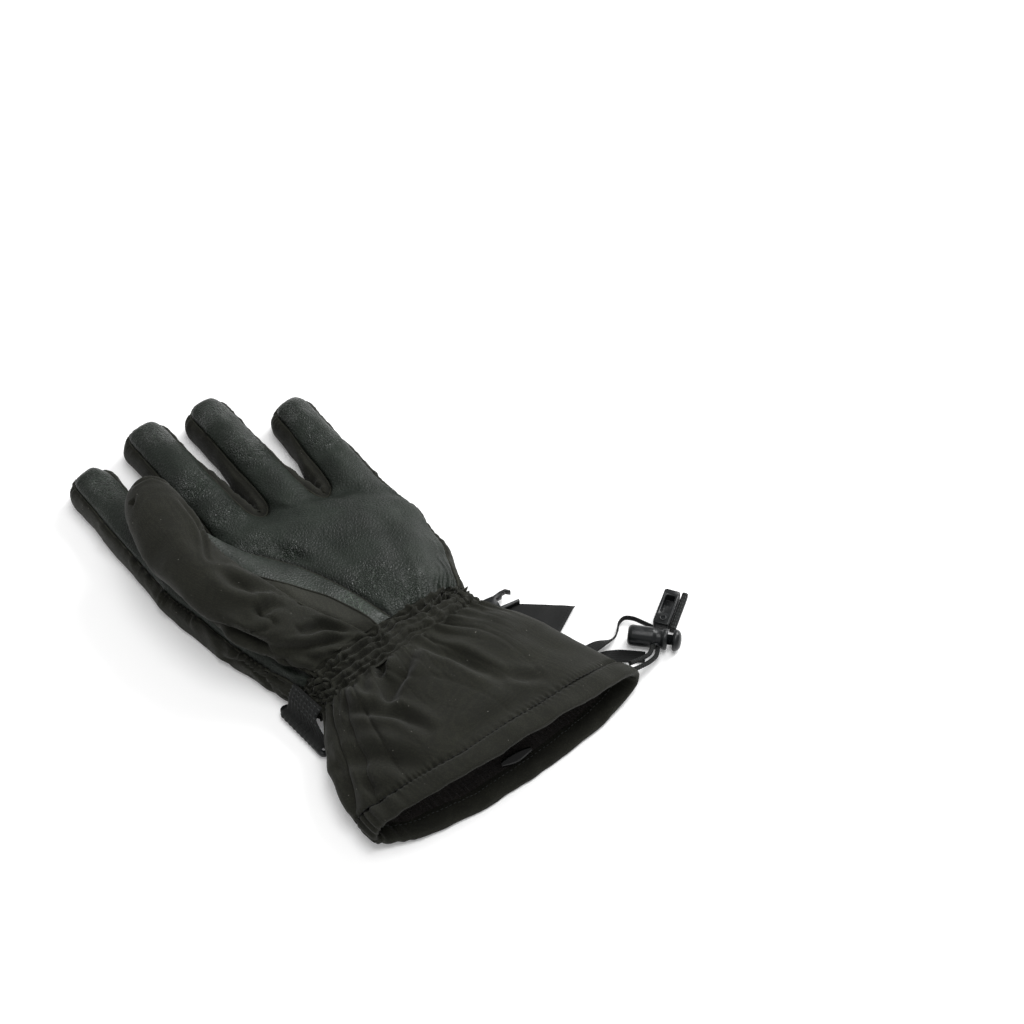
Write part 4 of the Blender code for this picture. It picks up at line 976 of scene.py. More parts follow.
def draw_grain(g, src):
    """Pebbled grain, and fine cracks where the surface is rubbed."""
    at, edge = src["Vector"], "DISTANCE_TO_EDGE"
    pebble = g.ramp(g.cells(at, src["Pebbles"], edge), 0.0, 0.3)
    fine = g.cloud(at, g.mul(src["Pebbles"], 1.9), 2.0, 0.5)
    bend = g.cloud(at, 160.0, 2.0, 0.5, output="Color")
    shift = g.node("ShaderNodeVectorMath", {0: bend, "Scale": 0.0035}, operation="SCALE").outputs[0]
    bent = g.node("ShaderNodeVectorMath", {0: at, 1: shift}, operation="ADD").outputs[0]
    wide = g.ramp(g.cells(bent, src["Cracks"], edge), 0.01, 0.13, 1.0, 0.0)
    thin = g.ramp(g.cells(bent, g.mul(src["Cracks"], 2.3), edge), 0.0, 0.12, 0.7, 0.0)
    patch = g.cloud(at, 120.0, 3.0, 0.65)
    rubbed = g.ramp(g.add(src["Worn"], g.mul(patch, 0.55)), 0.62, 0.95)
    crack = g.mul(g.maths("MAXIMUM", wide, thin), rubbed)
    height = g.add(g.mul(pebble, 0.7), g.mul(fine, 0.35))
    return {"Height": g.maths("SUBTRACT", height, g.mul(crack, 0.9)), "Crack": crack,
            "Tone": g.cloud(at, 40.0, 4.0, 0.6)}


def draw_dust(g, src):
    """Small pale specks of lint."""
    at, specks = src["Vector"], src["Specks"]
    dots = g.ramp(g.cells(at, specks), 0.05, 0.17, 1.0, 0.0)
    some = g.ramp(g.cloud(at, g.mul(specks, 0.45), 1.0, 0.5), 0.64, 0.7)
    return {"Mask": g.mul(g.mul(dots, some), src["Amount"])}


def draw_scuffs(g, src):
    """Soft streaks and small scratches of handled plastic."""
    at, size = src["Vector"], src["Size"]
    return {"Mask": g.ramp(g.cloud(at, size, 5.0, 0.7, 0.6), 0.45, 0.72),
            "Height": g.cloud(at, g.mul(size, 5.0), 2.0, 0.5)}


GROUPS = {
    "weave": (draw_weave, {"Threads": 1500.0, "Slub": 0.35}),
    "leather_grain": (draw_grain, {"Pebbles": 620.0, "Cracks": 330.0, "Worn": 0.0}),
    "dust": (draw_dust, {"Specks": 700.0, "Amount": 0.5}),
    "scuffs": (draw_scuffs, {"Size": 260.0}),
}


def node_group(name):
    """The node group of that name, made the first time it is asked for."""
    tree = bpy.data.node_groups.get(name)
    if tree:
        return tree
    draw, values = GROUPS[name]
    tree = bpy.data.node_groups.new(name, "ShaderNodeTree")
    new = tree.interface.new_socket
    new("Vector", in_out="INPUT", socket_type="NodeSocketVector")
    for label, value in values.items():
        new(label, in_out="INPUT", socket_type="NodeSocketFloat").default_value = value
    g = Graph(tree)
    results = draw(g, g.node("NodeGroupInput").outputs)
    for label in results:
        new(label, in_out="OUTPUT", socket_type="NodeSocketFloat")
    g.node("NodeGroupOutput", results)
    return tree


class Finish(Graph):
    """A material with its shader and its place on the piece."""

    def __init__(self, name):
        self.material = bpy.data.materials.new("finish_" + name)
        self.material.use_nodes = True
        super().__init__(self.material.node_tree)
        self.shader = self.tree.nodes["Principled BSDF"]
        self.at = self.node("ShaderNodeTexCoord").outputs["Object"]

    def group(self, name, **values):
        return self.node("ShaderNodeGroup", dict(values, Vector=self.at), node_tree=node_group(name)).outputs

    def point_value(self, name):
        return self.node("ShaderNodeAttribute", attribute_name=name).outputs["Fac"]

    def dusted(self, base, specks, amount, lint):
        return self.blend(self.group("dust", Specks=specks, Amount=amount)["Mask"], base, lint)

    def seam_groove_shaded(self, base, colour):
        """Painted shade of the seam's groove: a dark line where two panels meet."""
        return self.blend(self.mul(self.point_value("seam"), 0.85), base, tint(colour, 0.12))

    def bump(self, height, strength, distance):
        inputs = {"Height": height, "Strength": strength, "Distance": distance}
        normal = self.node("ShaderNodeBump", inputs).outputs["Normal"]
        self.put(self.shader, {"Normal": normal})
        return normal

    def done(self, **values):
        """Sets the shader's inputs; an underscore in a name stands for a space."""
        self.put(self.shader, {key.replace("_", " "): value for key, value in values.items()})
        return self.material


def cloth_finish(name, colour, threads, deep, light, rough, sheen, lint):
    g = Finish(name)
    weave = g.group("weave", Threads=threads)
    base = g.blend(g.ramp(weave["Tone"], 0.2, 0.75), tint(colour, deep), tint(colour, light))
    # painted shade in the grooves along the seams
    base = g.seam_groove_shaded(g.dusted(base, 560.0, lint, WARM_LINT), colour)
    dull = g.ramp(weave["Tone"], 0.2, 0.8, rough, min(1.0, rough + 0.1))
    g.bump(weave["Height"], 0.4, 0.0002)
    return g.done(Base_Color=base, Roughness=dull, Specular_IOR_Level=0.2, Sheen_Weight=sheen,
                  Sheen_Roughness=0.5)


def leather_finish(name, colour):
    g = Finish(name)
    worn = g.point_value("worn")
    grain = g.group("leather_grain", Worn=worn)
    base = g.blend(g.ramp(grain["Tone"], 0.3, 0.7), tint(colour, 0.72), tint(colour, 1.3))
    base = g.blend(grain["Crack"], base, tint(colour, 1.9))
    # painted shade in the grooves along the seams
    base = g.seam_groove_shaded(g.dusted(base, 620.0, 0.12, PALE_LINT), colour)
    dull = g.add(g.ramp(worn, 0.1, 0.8, 0.44, 0.28), g.mul(grain["Tone"], 0.12))
    normal = g.bump(g.mul(grain["Height"], g.ramp(worn, 0.05, 0.7, 0.4, 1.0)), 0.85, 0.0007)
    return g.done(Base_Color=base, Roughness=dull, Specular_IOR_Level=0.22, Coat_Weight=g.mul(worn, 0.36),
                  Coat_Roughness=0.2, Coat_Normal=normal)


def strip_finish(name, leather, cloth):
    """Leather on one side of a seam and cloth on the other, told apart by the piece's own mask."""
    g = Finish(name)
    mask = g.ramp(g.point_value("cloth_side"), -0.25, 0.25)
    grain = g.group("leather_grain", Worn=g.point_value("worn"))
    weave = g.group("weave", Threads=1300.0)
    skin = g.blend(g.ramp(grain["Tone"], 0.3, 0.7), tint(leather, 0.85), tint(leather, 1.5))
    skin = g.blend(grain["Crack"], skin, tint(leather, 3.2))
    fabric = g.blend(g.ramp(weave["Tone"], 0.2, 0.75), tint(cloth, 0.9), tint(cloth, 1.9))
    base = g.dusted(g.blend(mask, skin, fabric), 600.0, 0.15, PALE_LINT)
    pebbles = g.mul(grain["Height"], g.ramp(mask, 0.0, 1.0, 1.0, 0.0))
    threads = g.mul(g.mul(weave["Height"], 0.45), mask)
    g.bump(g.add(pebbles, threads), 0.5, 0.00045)
    return g.done(Base_Color=base, Roughness=g.ramp(mask, 0.0, 1.0, 0.46, 0.85), Specular_IOR_Level=0.35)


def yarn_finish(name, colour, rough, pitch, slant, sheen=0.2, lint=0.25):
    """Woven tape or cord: twill along the piece's own run."""
    g = Finish(name)
    inputs = {"Vector": g.node("ShaderNodeTexCoord").outputs["UV"], "Scale": pitch, "Distortion": 0.6,
              "Detail": 1.0, "Detail Scale": 2.0}
    wave = g.node("ShaderNodeTexWave", inputs, wave_type="BANDS",
                  bands_direction="DIAGONAL" if slant else "X").outputs["Fac"]
    weave = g.group("weave", Threads=1900.0)
    height = g.add(wave, g.mul(weave["Height"], 0.5))
    base = g.blend(g.mul(height, 0.6), tint(colour, 0.6), tint(colour, 1.9))
    base = g.dusted(base, 900.0, lint, GREY_LINT)
    dull = g.ramp(weave["Tone"], 0.2, 0.8, rough, min(1.0, rough + 0.15))
    g.bump(height, 0.6, 0.0003)
    return g.done(Base_Color=base, Roughness=dull, Sheen_Weight=sheen * 0.1, Specular_IOR_Level=0.22)


def moulded_finish(name, colour, rough):
    g = Finish(name)
    scuff = g.group("scuffs")
    base = g.blend(scuff["Mask"], tint(colour, 0.9), tint(colour, 1.35))
    base = g.dusted(base, 1100.0, 0.35, DUST)
    g.bump(scuff["Height"], 0.12, 0.0001)
    return g.done(Base_Color=base, Roughness=g.ramp(scuff["Mask"], 0.0, 1.0, rough, rough + 0.16),
                  Specular_IOR_Level=0.26)


def pile_finish(name, colour):
    """Brushed lining: matted loops."""
    g = Finish(name)
    weave = g.group("weave", Threads=900.0, Slub=1.2)
    height = g.add(g.cloud(g.at, 420.0, 4.0, 0.7, 0.8), g.mul(weave["Height"], 0.4))
    base = g.blend(g.ramp(height, 0.35, 1.2), tint(colour, 0.5), tint(colour, 2.1))
    base = g.dusted(base, 600.0, 0.3, BROWN_LINT)
    g.bump(height, 0.9, 0.0009)
    return g.done(Base_Color=base, Roughness=g.ramp(weave["Tone"], 0.2, 0.8, 0.88, 1.0), Sheen_Weight=0.12,
                  Sheen_Roughness=0.6, Specular_IOR_Level=0.15)


def floor_finish(name, colour):
    g = Finish(name)
    base = g.blend(g.cloud(g.at, 3.0, 2.0, 0.5), tint(colour, 0.995), tint(colour, 1.0))
    return g.done(Base_Color=base, Roughness=0.9, Specular_IOR_Level=0.1,
                  Emission_Color=(1.0, 1.0, 1.0, 1.0), Emission_Strength=0.13)


def material(name):
    """The finish of that name, made the first time it is asked for."""
    mat = bpy.data.materials.get("finish_" + name)
    if mat:
        return mat
    c = bpy.context.scene.glove_colours
    make = {
        "leather": lambda: leather_finish(name, c.leather),
        "softshell": lambda: cloth_finish(name, c.cloth, 1500.0, 0.6, 1.45, 0.86, 0.06, 0.6),
        "strip": lambda: strip_finish(name, c.leather, c.cloth),
        "strip_cloth": lambda: cloth_finish(name, tint(c.cloth, 1.35), 1300.0, 0.7, 1.35, 0.85, 0.06, 0.35),
        "turned_edge": lambda: cloth_finish(name, tint(c.cloth, 1.5), 1500.0, 0.75, 1.3, 0.85, 0.06, 0.2),
        "fleece": lambda: pile_finish(name, c.lining),
        "webbing": lambda: yarn_finish(name, tint(c.webbing, 0.7), 0.6, 520.0, False),
        "braid": lambda: yarn_finish(name, c.webbing, 0.7, 640.0, True),
        "thread": lambda: yarn_finish(name, tint(c.webbing, 6.5), 0.6, 900.0, True, 0.3, 0.0),
        "dull_thread": lambda: yarn_finish(name, tint(c.webbing, 2.6), 0.7, 900.0, True, 0.2, 0.0),
        "dark_thread": lambda: yarn_finish(name, tint(c.webbing, 1.3), 0.7, 900.0, True, 0.2, 0.0),
        "gloss": lambda: moulded_finish(name, c.plastic, 0.3),
        "satin": lambda: cloth_finish(name, tint(c.webbing, 0.5), 1700.0, 0.8, 1.2, 0.6, 0.02, 0.15),
        "satin_gloss": lambda: moulded_finish(name, tint(c.webbing, 0.4), 0.16),
        "floor": lambda: floor_finish(name, c.floor),
    }[name]
    return make()


# wrist, cuff and lining
ROUND = 640
HEM_THICK = 3.6     # of the folded hem at its lip


def grid_faces(rows, cols, closed=True):
    out = []
    last = cols if closed else cols - 1
    for j in range(rows - 1):
        for i in range(last):
            k = (i + 1) % cols
            out.append((j * cols + i, j * cols + k, (j + 1) * cols + k, (j + 1) * cols + i))
    return np.array(out)


def outward(points, faces, middle):
    """Faces turned so that they look away from a middle line along Y."""
    n = normals_of(points, faces)
    away = points - middle
    away[:, 1] = 0
    if np.einsum("ij,ij->", n, away) < 0:
        faces = faces[:, ::-1]
    return faces


def ring_angle(k):
    return 2 * math.pi * k / ROUND


def hand_opening():
    """The hand's open edge at the wrist, its points put in order once round from the little-finger side."""
    ids = sorted(set(v for e, ls in Hand.edges.items() if len(ls) == 1 for v in e))
    pts = Hand.points[ids]
    order = np.argsort(np.arctan2(pts[:, 2] - WRIST_MIDDLE, pts[:, 0] * 14 / 50))
    return pts[order]


def sculpt_wrist(sizes):
    """Shirred band: rows of elastic with knotted puckers between them."""
    edge = hand_opening()
    ang = np.unwrap(np.arctan2((edge[:, 2] - WRIST_MIDDLE) / 13.5, edge[:, 0] / 52))
    first = np.empty((ROUND, 3))
    closed = np.vstack([edge[-1:], edge, edge[:1]])
    ca = np.concatenate([[ang[-1] - 2 * math.pi], ang, [ang[0] + 2 * math.pi]])
    last = np.array([tuple(cuff_outline(ring_angle(k), CUFF_Y)) for k in range(ROUND)])
    la = np.unwrap(np.arctan2((last[:, 2] - WRIST_MIDDLE) / 13.5, last[:, 0] / 52))
    target = (la - ca[0]) % (2 * math.pi) + ca[0]
    for c in range(3):
        first[:, c] = np.interp(target, ca, closed[:, c])
    steps = 44
    rows = []
    for j in range(steps + 1):
        t = j / steps
        row = first * (1 - t) + last * t
        row[:, 1] = WRIST_Y + 0.6 - (BAND_LENGTH + 1.2) * t
        rows.append(row)
    points = np.vstack(rows)
    faces = outward(points, grid_faces(steps + 1, ROUND), np.array([0, 0, WRIST_MIDDLE]))
    normals = normals_of(points, faces)
    elastic = [WRIST_Y - d for d in (2.2, 6.6, 11.0, 15.4, 18.6)]
    bounds = [WRIST_Y + 4] + elastic + [CUFF_Y - 4]
    depth = flutes(points, sizes.gather_depth / MM)
    knot = sizes.gather_depth / MM
    for i, (p, t) in enumerate(zip(points, round_the_wrist(points))):
        y = p[1]
        bent = y + 2.6 * ring_noise(t, 4, 1.0) + 0.9 * ring_noise(t, 13, 6.0)
        strip = sum(1 for e in elastic if bent < e)
        hi, lo = bounds[strip], bounds[strip + 1]
        f = min(1.0, max(0.0, (hi - bent) / (hi - lo)))
        near = min(abs(bent - e) for e in elastic)
        size = 0.8 + 1.5 * ring_noise(t, 8, strip * 3.7)
        phase = 44 * t + 2.3 * strip + 9 * ring_noise(t, 4.1, strip * 1.9) + 1.8 * math.sin(0.9 * y)
        lump = (0.5 + 0.5 * math.sin(phase)) ** 1.2
        inside = 0 < strip < len(elastic)
        # towards the little finger the cuff's cloth puffs over the last rows
        hard = 1.0 if strip < 2 or p[2] < 12 else 0.25 + 0.75 * smooth((10.0 - p[0]) / 35.0)
        d = 0.3 * lump
        if inside:
            d = 1.25 * min(1.35, max(0.15, size)) * lump * math.sin(math.pi * f) ** 0.8 * hard
        d -= hard * (0.9 + 0.5 * ring_noise(t, 11, 2.0)) * math.exp(-(near / 0.9) ** 2)
        d -= hard * 0.3 * math.exp(-(math.sin(phase * 0.5) / 0.3) ** 2) * (1.0 if inside else 0.4)
        d += (1 - hard) * (0.5 if strip < 4 else -0.4)
        fine = 0.3 * noise.noise(Vector((p[0] / 1.9, y / 1.9, p[2] / 1.9)))
        low = min(1.0, max(0.1, (p[2] - 1.0) / 8.0))
        depth[i] = depth[i] * 0.45 + (d * knot + fine - 0.3) * low
    points = lowest_at_floor(points + normals * depth[:, None])
    return to_object("wrist_shirring", points, faces, "softshell")


def cuff_ring(before_lip, share):
    """One ring of the plain cuff between its start and the lip less a depth."""
    out = np.empty((ROUND, 3))
    for k in range(ROUND):
        a = ring_angle(k)
        x = cuff_outline(a, CUFF_Y - 0.92 * CUFF_LENGTH)[0]
        y = mix(CUFF_Y, lip_y(a, x) + before_lip, share)
        p = cuff_outline(a, y)
        d = fold_depth(a, y)
        out[k] = (p.x + math.cos(a) * d, y, p.z + math.sin(a) * d)
    return out


class Cuff:
    """Rings of the cuff that its stitches and the lining start from."""
    stitch_ring = inner_ring = inner_square = None


def hem_puckers(ring):
    """Puckers beside the hem's stitches, for each numbered place round it."""
    return np.sin(ring * 2 * math.pi / 4.6 + 2.5 * np.sin(ring * 0.14)) * (0.6 + 0.4 * np.sin(ring * 0.061))


def sculpt_cuff(sizes):
    """Cuff shell down to the hem's stitch line."""
    steps = 62
    rows = [cuff_ring(HEM_DEPTH, j / steps) for j in range(steps + 1)]
    rows[0][:, 1] += 0.5
    points = np.vstack(rows)
    faces = outward(points, grid_faces(steps + 1, ROUND), np.array([0, 0, CUFF_MIDDLE]))
    normals = normals_of(points, faces)
    x, y, z = points.T
    top = np.clip((z - 6) / 6.0, 0, 1)
    depth = np.clip(press_folds(points, CUFF_CREASES, top) * sizes.fold_depth, -5.5, 4.0)
    depth += flutes(points, sizes.gather_depth / MM) * 1.1
    depth += (1.6 * wobble(points, 30.0, 3) + 0.4 * wobble(points, 11.0, 4)) * top
    # crumple that fans out with the cuff, strongest near the wrist and on the left
    near_wrist = np.exp(-np.clip(CUFF_Y - y, 0, 99) / 30.0)
    left = np.clip((-x - 5) / 50.0, 0, 1)
    crumple = np.clip(0.1 + 0.7 * near_wrist + 0.7 * left, 0, 1) * top * np.clip((58.0 - x) / 28.0, 0.1, 1)
    wide = np.repeat(np.abs(x.reshape(steps + 1, ROUND)).max(axis=1), ROUND)
    fan = np.stack([x / wide * 70.0, y * 0.33, z * 0.6], 1)
    depth -= crumple * (1.9 * ridges(fan, 23.0, 1) ** 5 + 0.8 * (1 - 0.6 * left) * ridges(fan, 11.0, 2) ** 5)
    depth = np.maximum(depth, -6.0)
    # the right side puffs up beside the last row of the shirring
    depth += 1.5 * top * np.clip((x + 5) / 40.0, 0, 1) * np.exp(-((CUFF_Y - y) / 5.0) ** 2)
    # the cloth puckers just above the hem's stitches
    away = (1 - np.repeat(np.arange(steps + 1), ROUND) / steps) * 62.0
    nip = hem_puckers(np.tile(np.arange(ROUND), steps + 1))
    depth += np.clip(z / 6.0, 0.1, 1) * (0.5 * nip * np.exp(-(away / 2.6) ** 2)
                                         - 1.1 * np.exp(-(away / 1.3) ** 2))
    points = lowest_at_floor(points + normals * depth[:, None])
    Cuff.stitch_ring = points[-ROUND:] + normals[-ROUND:] * 0.5
    return to_object("cuff_cloth", points, faces, "softshell")


# share of the hem's depth, share of its roll
HEM_ROUND = ((0.0, 0.0), (0.15, 0.06), (0.5, 0.12), (0.82, 0.08), (0.95, -0.06), (1.0, -0.3),
             (1.0, -0.58), (0.94, -0.82), (0.75, -0.95), (0.4, -0.98), (0.0, -0.92))


def sculpt_hem():
    """Rolled hem from the stitch line round the lip to its inner edge."""
    start = cuff_ring(HEM_DEPTH, 1.0)
    lip = cuff_ring(0.0, 1.0)
    run = np.roll(lip, -1, axis=0) - np.roll(lip, 1, axis=0)
    square = np.stack([run[:, 2], np.zeros(ROUND), -run[:, 0]], 1)
    square /= np.linalg.norm(square, axis=1)[:, None]
    middle = np.array([start[:, 0].mean(), 0, CUFF_MIDDLE])
    if np.einsum("ij,ij->", square, lip - middle) < 0:
        square = -square
    ring = np.arange(ROUND)
    nip = hem_puckers(ring)
    rows = []
    for f, out in smooth_line(HEM_ROUND, 4):
        row = start * (1 - f) + lip * f
        lift = np.full(ROUND, out * HEM_THICK)
        high = np.clip((row[:, 2] - HEM_ROLL * 0.4) / 5.0, 0, 1)
        if out > 0:
            lift = lift * high
        near_start = math.exp(-(f * HEM_DEPTH / 2.4) ** 2)
        lift = lift + high * nip * (0.5 if out > -0.3 else -0.45) * near_start
        if out > -0.2:
            lift = lift - 1.1 * high * math.exp(-(f * HEM_DEPTH / 1.2) ** 2)
        elif out < -0.8:
            # the facing of the lower lip lies in soft waves
            wave = np.array([noise.noise(Vector((p[0] / 9.0, f * 1.5, 7.0))) for p in row])
            lift = lift - (1 - high) * (1.0 * wave + 0.45 * nip * near_start + 0.25)
        row = row + square * lift[:, None]
        # slow waves of the lip, and the cloth gathered at its left end
        slow = []
        for p, at_lip in zip(row, lip):
            at = Vector((p[0], at_lip[1], p[2]))
            slow.append(noise.noise(at / 19.0) + 0.4 * noise.noise(at / 8.0))
        slow = np.array(slow)
        row = row + square * (1.5 * slow * high * min(1.0, f * 2))[:, None]
        row[:, 1] += 1.1 * slow * min(1.0, f * 1.5)
        gather = np.clip((-row[:, 0] - 52.0) / 14.0, 0, 1) * np.sin(ring * 0.42 + 1.5 * np.sin(ring * 0.13))
        rows.append(row + square * (0.8 * gather * (1.2 - 0.5 * f))[:, None])
    points = lowest_at_floor(np.vstack(rows))
    faces = grid_faces(len(rows), ROUND)
    test = outward(points[:ROUND * 8], grid_faces(8, ROUND), middle)
    if not np.array_equal(test, grid_faces(8, ROUND)):
        faces = faces[:, ::-1]
    Cuff.inner_ring, Cuff.inner_square = rows[-1], square
    return to_object("rolled_hem", points, faces, "softshell")


def sculpt_lining():
    """Brushed lining from the hem's inner edge into the wrist."""
    square = Cuff.inner_square
    first = Cuff.inner_ring + np.array([0, -2.5, 0]) + square * 0.5
    rows = [first, Cuff.inner_ring + square * -0.15]
    inset = CUFF_WALL + LINING_WALL + 0.8
    for j in range(1, 49):
        t = j / 48
        y0 = Cuff.inner_ring[:, 1]
        row = np.empty((ROUND, 3))
        for k in range(ROUND):
            a = ring_angle(k)
            y = mix(y0[k], CUFF_Y - 2, t)
            p = cuff_outline(a, y)
            row[k] = (p.x, y, p.z)
        high = np.clip((row[:, 2] - 10.0) / 9.0, 0, 1) * smooth(t * 4)
        row -= square * (inset + 5.5 * high)[:, None]
        blend = smooth(t * 6)
        row[:, (0, 2)] = (Cuff.inner_ring - square * 0.3)[:, (0, 2)] * (1 - blend) + row[:, (0, 2)] * blend
        rows.append(row)
    deep = rows[-1]
    for t in (0.35, 0.7, 1.0):
        row = deep.copy()
        row[:, 1] = CUFF_Y - 2 + 30 * t
        row[:, 0] = row[:, 0] * (1 - 0.12 * t)
        row[:, 2] = WRIST_MIDDLE + (row[:, 2] - WRIST_MIDDLE) * (1 - 0.1 * t)
        rows.append(row)
    points = np.vstack(rows)
    faces = outward(points, grid_faces(len(rows), ROUND), np.array([0, 0, CUFF_MIDDLE]))[:, ::-1]
    normals = normals_of(points, faces)
    t = np.repeat(np.arange(len(rows)), ROUND)
    free = np.clip((t - 2) / 6.0, 0, 1)
    depth = free * (0.5 * wobble(points, 3.2, 5) + 1.3 * np.maximum(wobble(points, 16.0, 6), -0.2))
    points = points + normals * depth[:, None]
    end = len(points)
    points = np.vstack([points, [[0, CUFF_Y + 30, WRIST_MIDDLE]]])
    obj = to_object("lining_sleeve", points, faces, "fleece")
    bm = bmesh.new()
    bm.from_mesh(obj.data)
    bm.verts.ensure_lookup_table()
    base = end - ROUND
    for k in range(ROUND):
        a, b = bm.verts[base + k], bm.verts[base + (k + 1) % ROUND]
        bm.faces.new((a, b, bm.verts[end])).smooth = True
    bmesh.ops.recalc_face_normals(bm, faces=bm.faces)
    bm.normal_update()
    flip = [f for f in bm.faces if len(f.verts) == 3]
    if flip and flip[0].normal.y > 0:
        bmesh.ops.reverse_faces(bm, faces=bm.faces)
    bm.to_mesh(obj.data)
    bm.free()
    return obj


# thread: one small bar repeated along lines
def thread_tree():
    tree = bpy.data.node_groups.get("stitches")
    if tree:
        return tree
    tree = bpy.data.node_groups.new("stitches", "GeometryNodeTree")
    new = tree.interface.new_socket
    new("Lines", in_out="INPUT", socket_type="NodeSocketGeometry")
    for name, value in (("Spacing", 0.003), ("Length", 0.002), ("Thickness", 0.0006)):
        new(name, in_out="INPUT", socket_type="NodeSocketFloat").default_value = value
    new("Thread", in_out="INPUT", socket_type="NodeSocketMaterial")
    new("Stitches", in_out="OUTPUT", socket_type="NodeSocketGeometry")
    g = Graph(tree)
    src = g.node("NodeGroupInput").outputs
    curve = g.node("GeometryNodeMeshToCurve", {"Mesh": src["Lines"]})
    even = g.node("GeometryNodeResampleCurve", {"Curve": curve.outputs["Curve"], "Length": src["Spacing"]},
                  mode="LENGTH")
    ball = g.node("GeometryNodeMeshIcoSphere", {"Radius": 0.5, "Subdivisions": 1})
    tangent = g.node("GeometryNodeInputTangent")
    turn = g.node("FunctionNodeAlignRotationToVector", {"Vector": tangent.outputs[0]}, axis="X")
    size = g.node("ShaderNodeCombineXYZ",
                  {"X": src["Length"], "Y": src["Thickness"], "Z": src["Thickness"]})
    put = g.node("GeometryNodeInstanceOnPoints",
                 {"Points": even.outputs["Curve"], "Instance": ball.outputs["Mesh"],
                  "Rotation": turn.outputs["Rotation"], "Scale": size.outputs["Vector"]})
    real = g.node("GeometryNodeRealizeInstances", {"Geometry": put.outputs["Instances"]})
    soft = g.node("GeometryNodeSetShadeSmooth", {"Geometry": real.outputs["Geometry"]})
    done = g.node("GeometryNodeSetMaterial",
                  {"Geometry": soft.outputs["Geometry"], "Material": src["Thread"]})
    g.node("NodeGroupOutput", {"Stitches": done.outputs["Geometry"]})
    return tree


def stitch(name, lines, spacing, length, thick, thread):
    """Stitches along polylines given in millimetres."""
    points, edges = [], []
    for line, closed in lines:
        base = len(points)
        points += [tuple(np.asarray(p) * MM) for p in line]
        edges += [(base + i, base + i + 1) for i in range(len(line) - 1)]
        if closed:
            edges.append((base + len(line) - 1, base))
    mesh = bpy.data.meshes.new(name)
    mesh.from_pydata(points, edges, [])
    obj = bpy.data.objects.new(name, mesh)
    bpy.context.scene.collection.objects.link(obj)
    tree = thread_tree()
    mod = obj.modifiers.new("stitches", "NODES")
    mod.node_group = tree
    values = {"Spacing": spacing * MM, "Length": length * MM, "Thickness": thick * MM,
              "Thread": material(thread)}
    for item in tree.interface.items_tree:
        if item.item_type == "SOCKET" and item.in_out == "INPUT" and item.name in values:
            mod[item.identifier] = values[item.name]
    applied(obj)
    return finish_piece(obj)


# tubes, tapes and turned pieces
def frames_along(path):
    path = np.asarray(path, float)
    run = np.gradient(path, axis=0)
    run /= np.linalg.norm(run, axis=1)[:, None]
    up = np.array([0.0, 0.0, 1.0])
    sides, ups = [], []
    for t in run:
        side = np.cross(t, up)
        if np.linalg.norm(side) < 0.05:
            side = np.array([1.0, 0, 0])
        side /= np.linalg.norm(side)
        sides.append(side)
        ups.append(np.cross(side, t))
    return run, np.array(sides), np.array(ups)


def oval(width, height, steps, power=1.0):
    """Section of that half width and half height; a power below 1 squares it."""
    out = []
    for k in range(steps):
        c, s = math.cos(2 * math.pi * k / steps), math.sin(2 * math.pi * k / steps)
        out.append((width * math.copysign(abs(c) ** power, c), height * math.copysign(abs(s) ** power, s)))
    return out


def swept(name, path, section, finish, closed=False):
    """A section of (side, up) rows swept along a path; section may be a function of the step."""
    path = np.asarray(path, float)
    run, side, up = frames_along(path)
    if closed:
        run = np.roll(path, -1, axis=0) - np.roll(path, 1, axis=0)
        run /= np.linalg.norm(run, axis=1)[:, None]
        side = np.cross(run, np.array([0, 0, 1.0]))
        side /= np.linalg.norm(side, axis=1)[:, None]
        up = np.cross(side, run)
    points = []
    length = np.concatenate([[0], np.cumsum(np.linalg.norm(np.diff(path, axis=0), axis=1))])
    for i, p in enumerate(path):
        shape = section(i, length[i]) if callable(section) else section
        for s, u in shape:
            points.append(p + side[i] * s + up[i] * u)
    cols = len(points) // len(path)
    points = np.array(points)
    faces = grid_faces(len(path), cols).tolist()
    if closed:
        base = (len(path) - 1) * cols
        faces += [(base + i, base + (i + 1) % cols, (i + 1) % cols, i) for i in range(cols)]
    else:
        faces.append(tuple(range(cols - 1, -1, -1)))
        faces.append(tuple((len(path) - 1) * cols + i for i in range(cols)))
    obj = to_object(name, points, faces, finish)
    bm = bmesh.new()
    bm.from_mesh(obj.data)
    bmesh.ops.recalc_face_normals(bm, faces=bm.faces)
    for f in bm.faces:
        if len(f.verts) > 4:
            for e in f.edges:
                e.smooth = False
    bm.to_mesh(obj.data)
    bm.free()
    layer = obj.data.uv_layers.new(name="run")
    for poly in obj.data.polygons:
        for li in poly.loop_indices:
            v = obj.data.loops[li].vertex_index
            i, k = divmod(v, cols)
            if k == 0 and any(obj.data.loops[l].vertex_index % cols == cols - 1 for l in poly.loop_indices):
                k = cols
            layer.data[li].uv = (length[i] * MM, k / cols)
    return obj


def tape_section(width, thick, ribs, depth, twist):
    """Flat ribbed tape: ribs run along it on both faces."""
    n = ribs * 4
    a = math.radians(twist)
    face = []
    for i in range(n + 1):
        u = -1 + 2 * i / n
        h = thick / 2 + depth * (0.5 - 0.5 * math.cos(2 * math.pi * ribs * (u + 1) / 2)) - depth
        edge = 1 - max(0.0, abs(u) - 0.9) / 0.1 * 0.45
        face.append((u * width / 2, h * edge))
    loop = face + [(x, -h) for x, h in reversed(face)]
    return [(x * math.cos(a) - h * math.sin(a), x * math.sin(a) + h * math.cos(a)) for x, h in loop]


def tape(name, rows, thick, ribs, depth):
    """Tape along rows of x, y, z, width, twist."""
    path = smooth_line(rows, 10)

    def section(i, run):
        return tape_section(path[i][3], thick, ribs, depth, path[i][4])
    return swept(name, path[:, :3], section, "webbing")


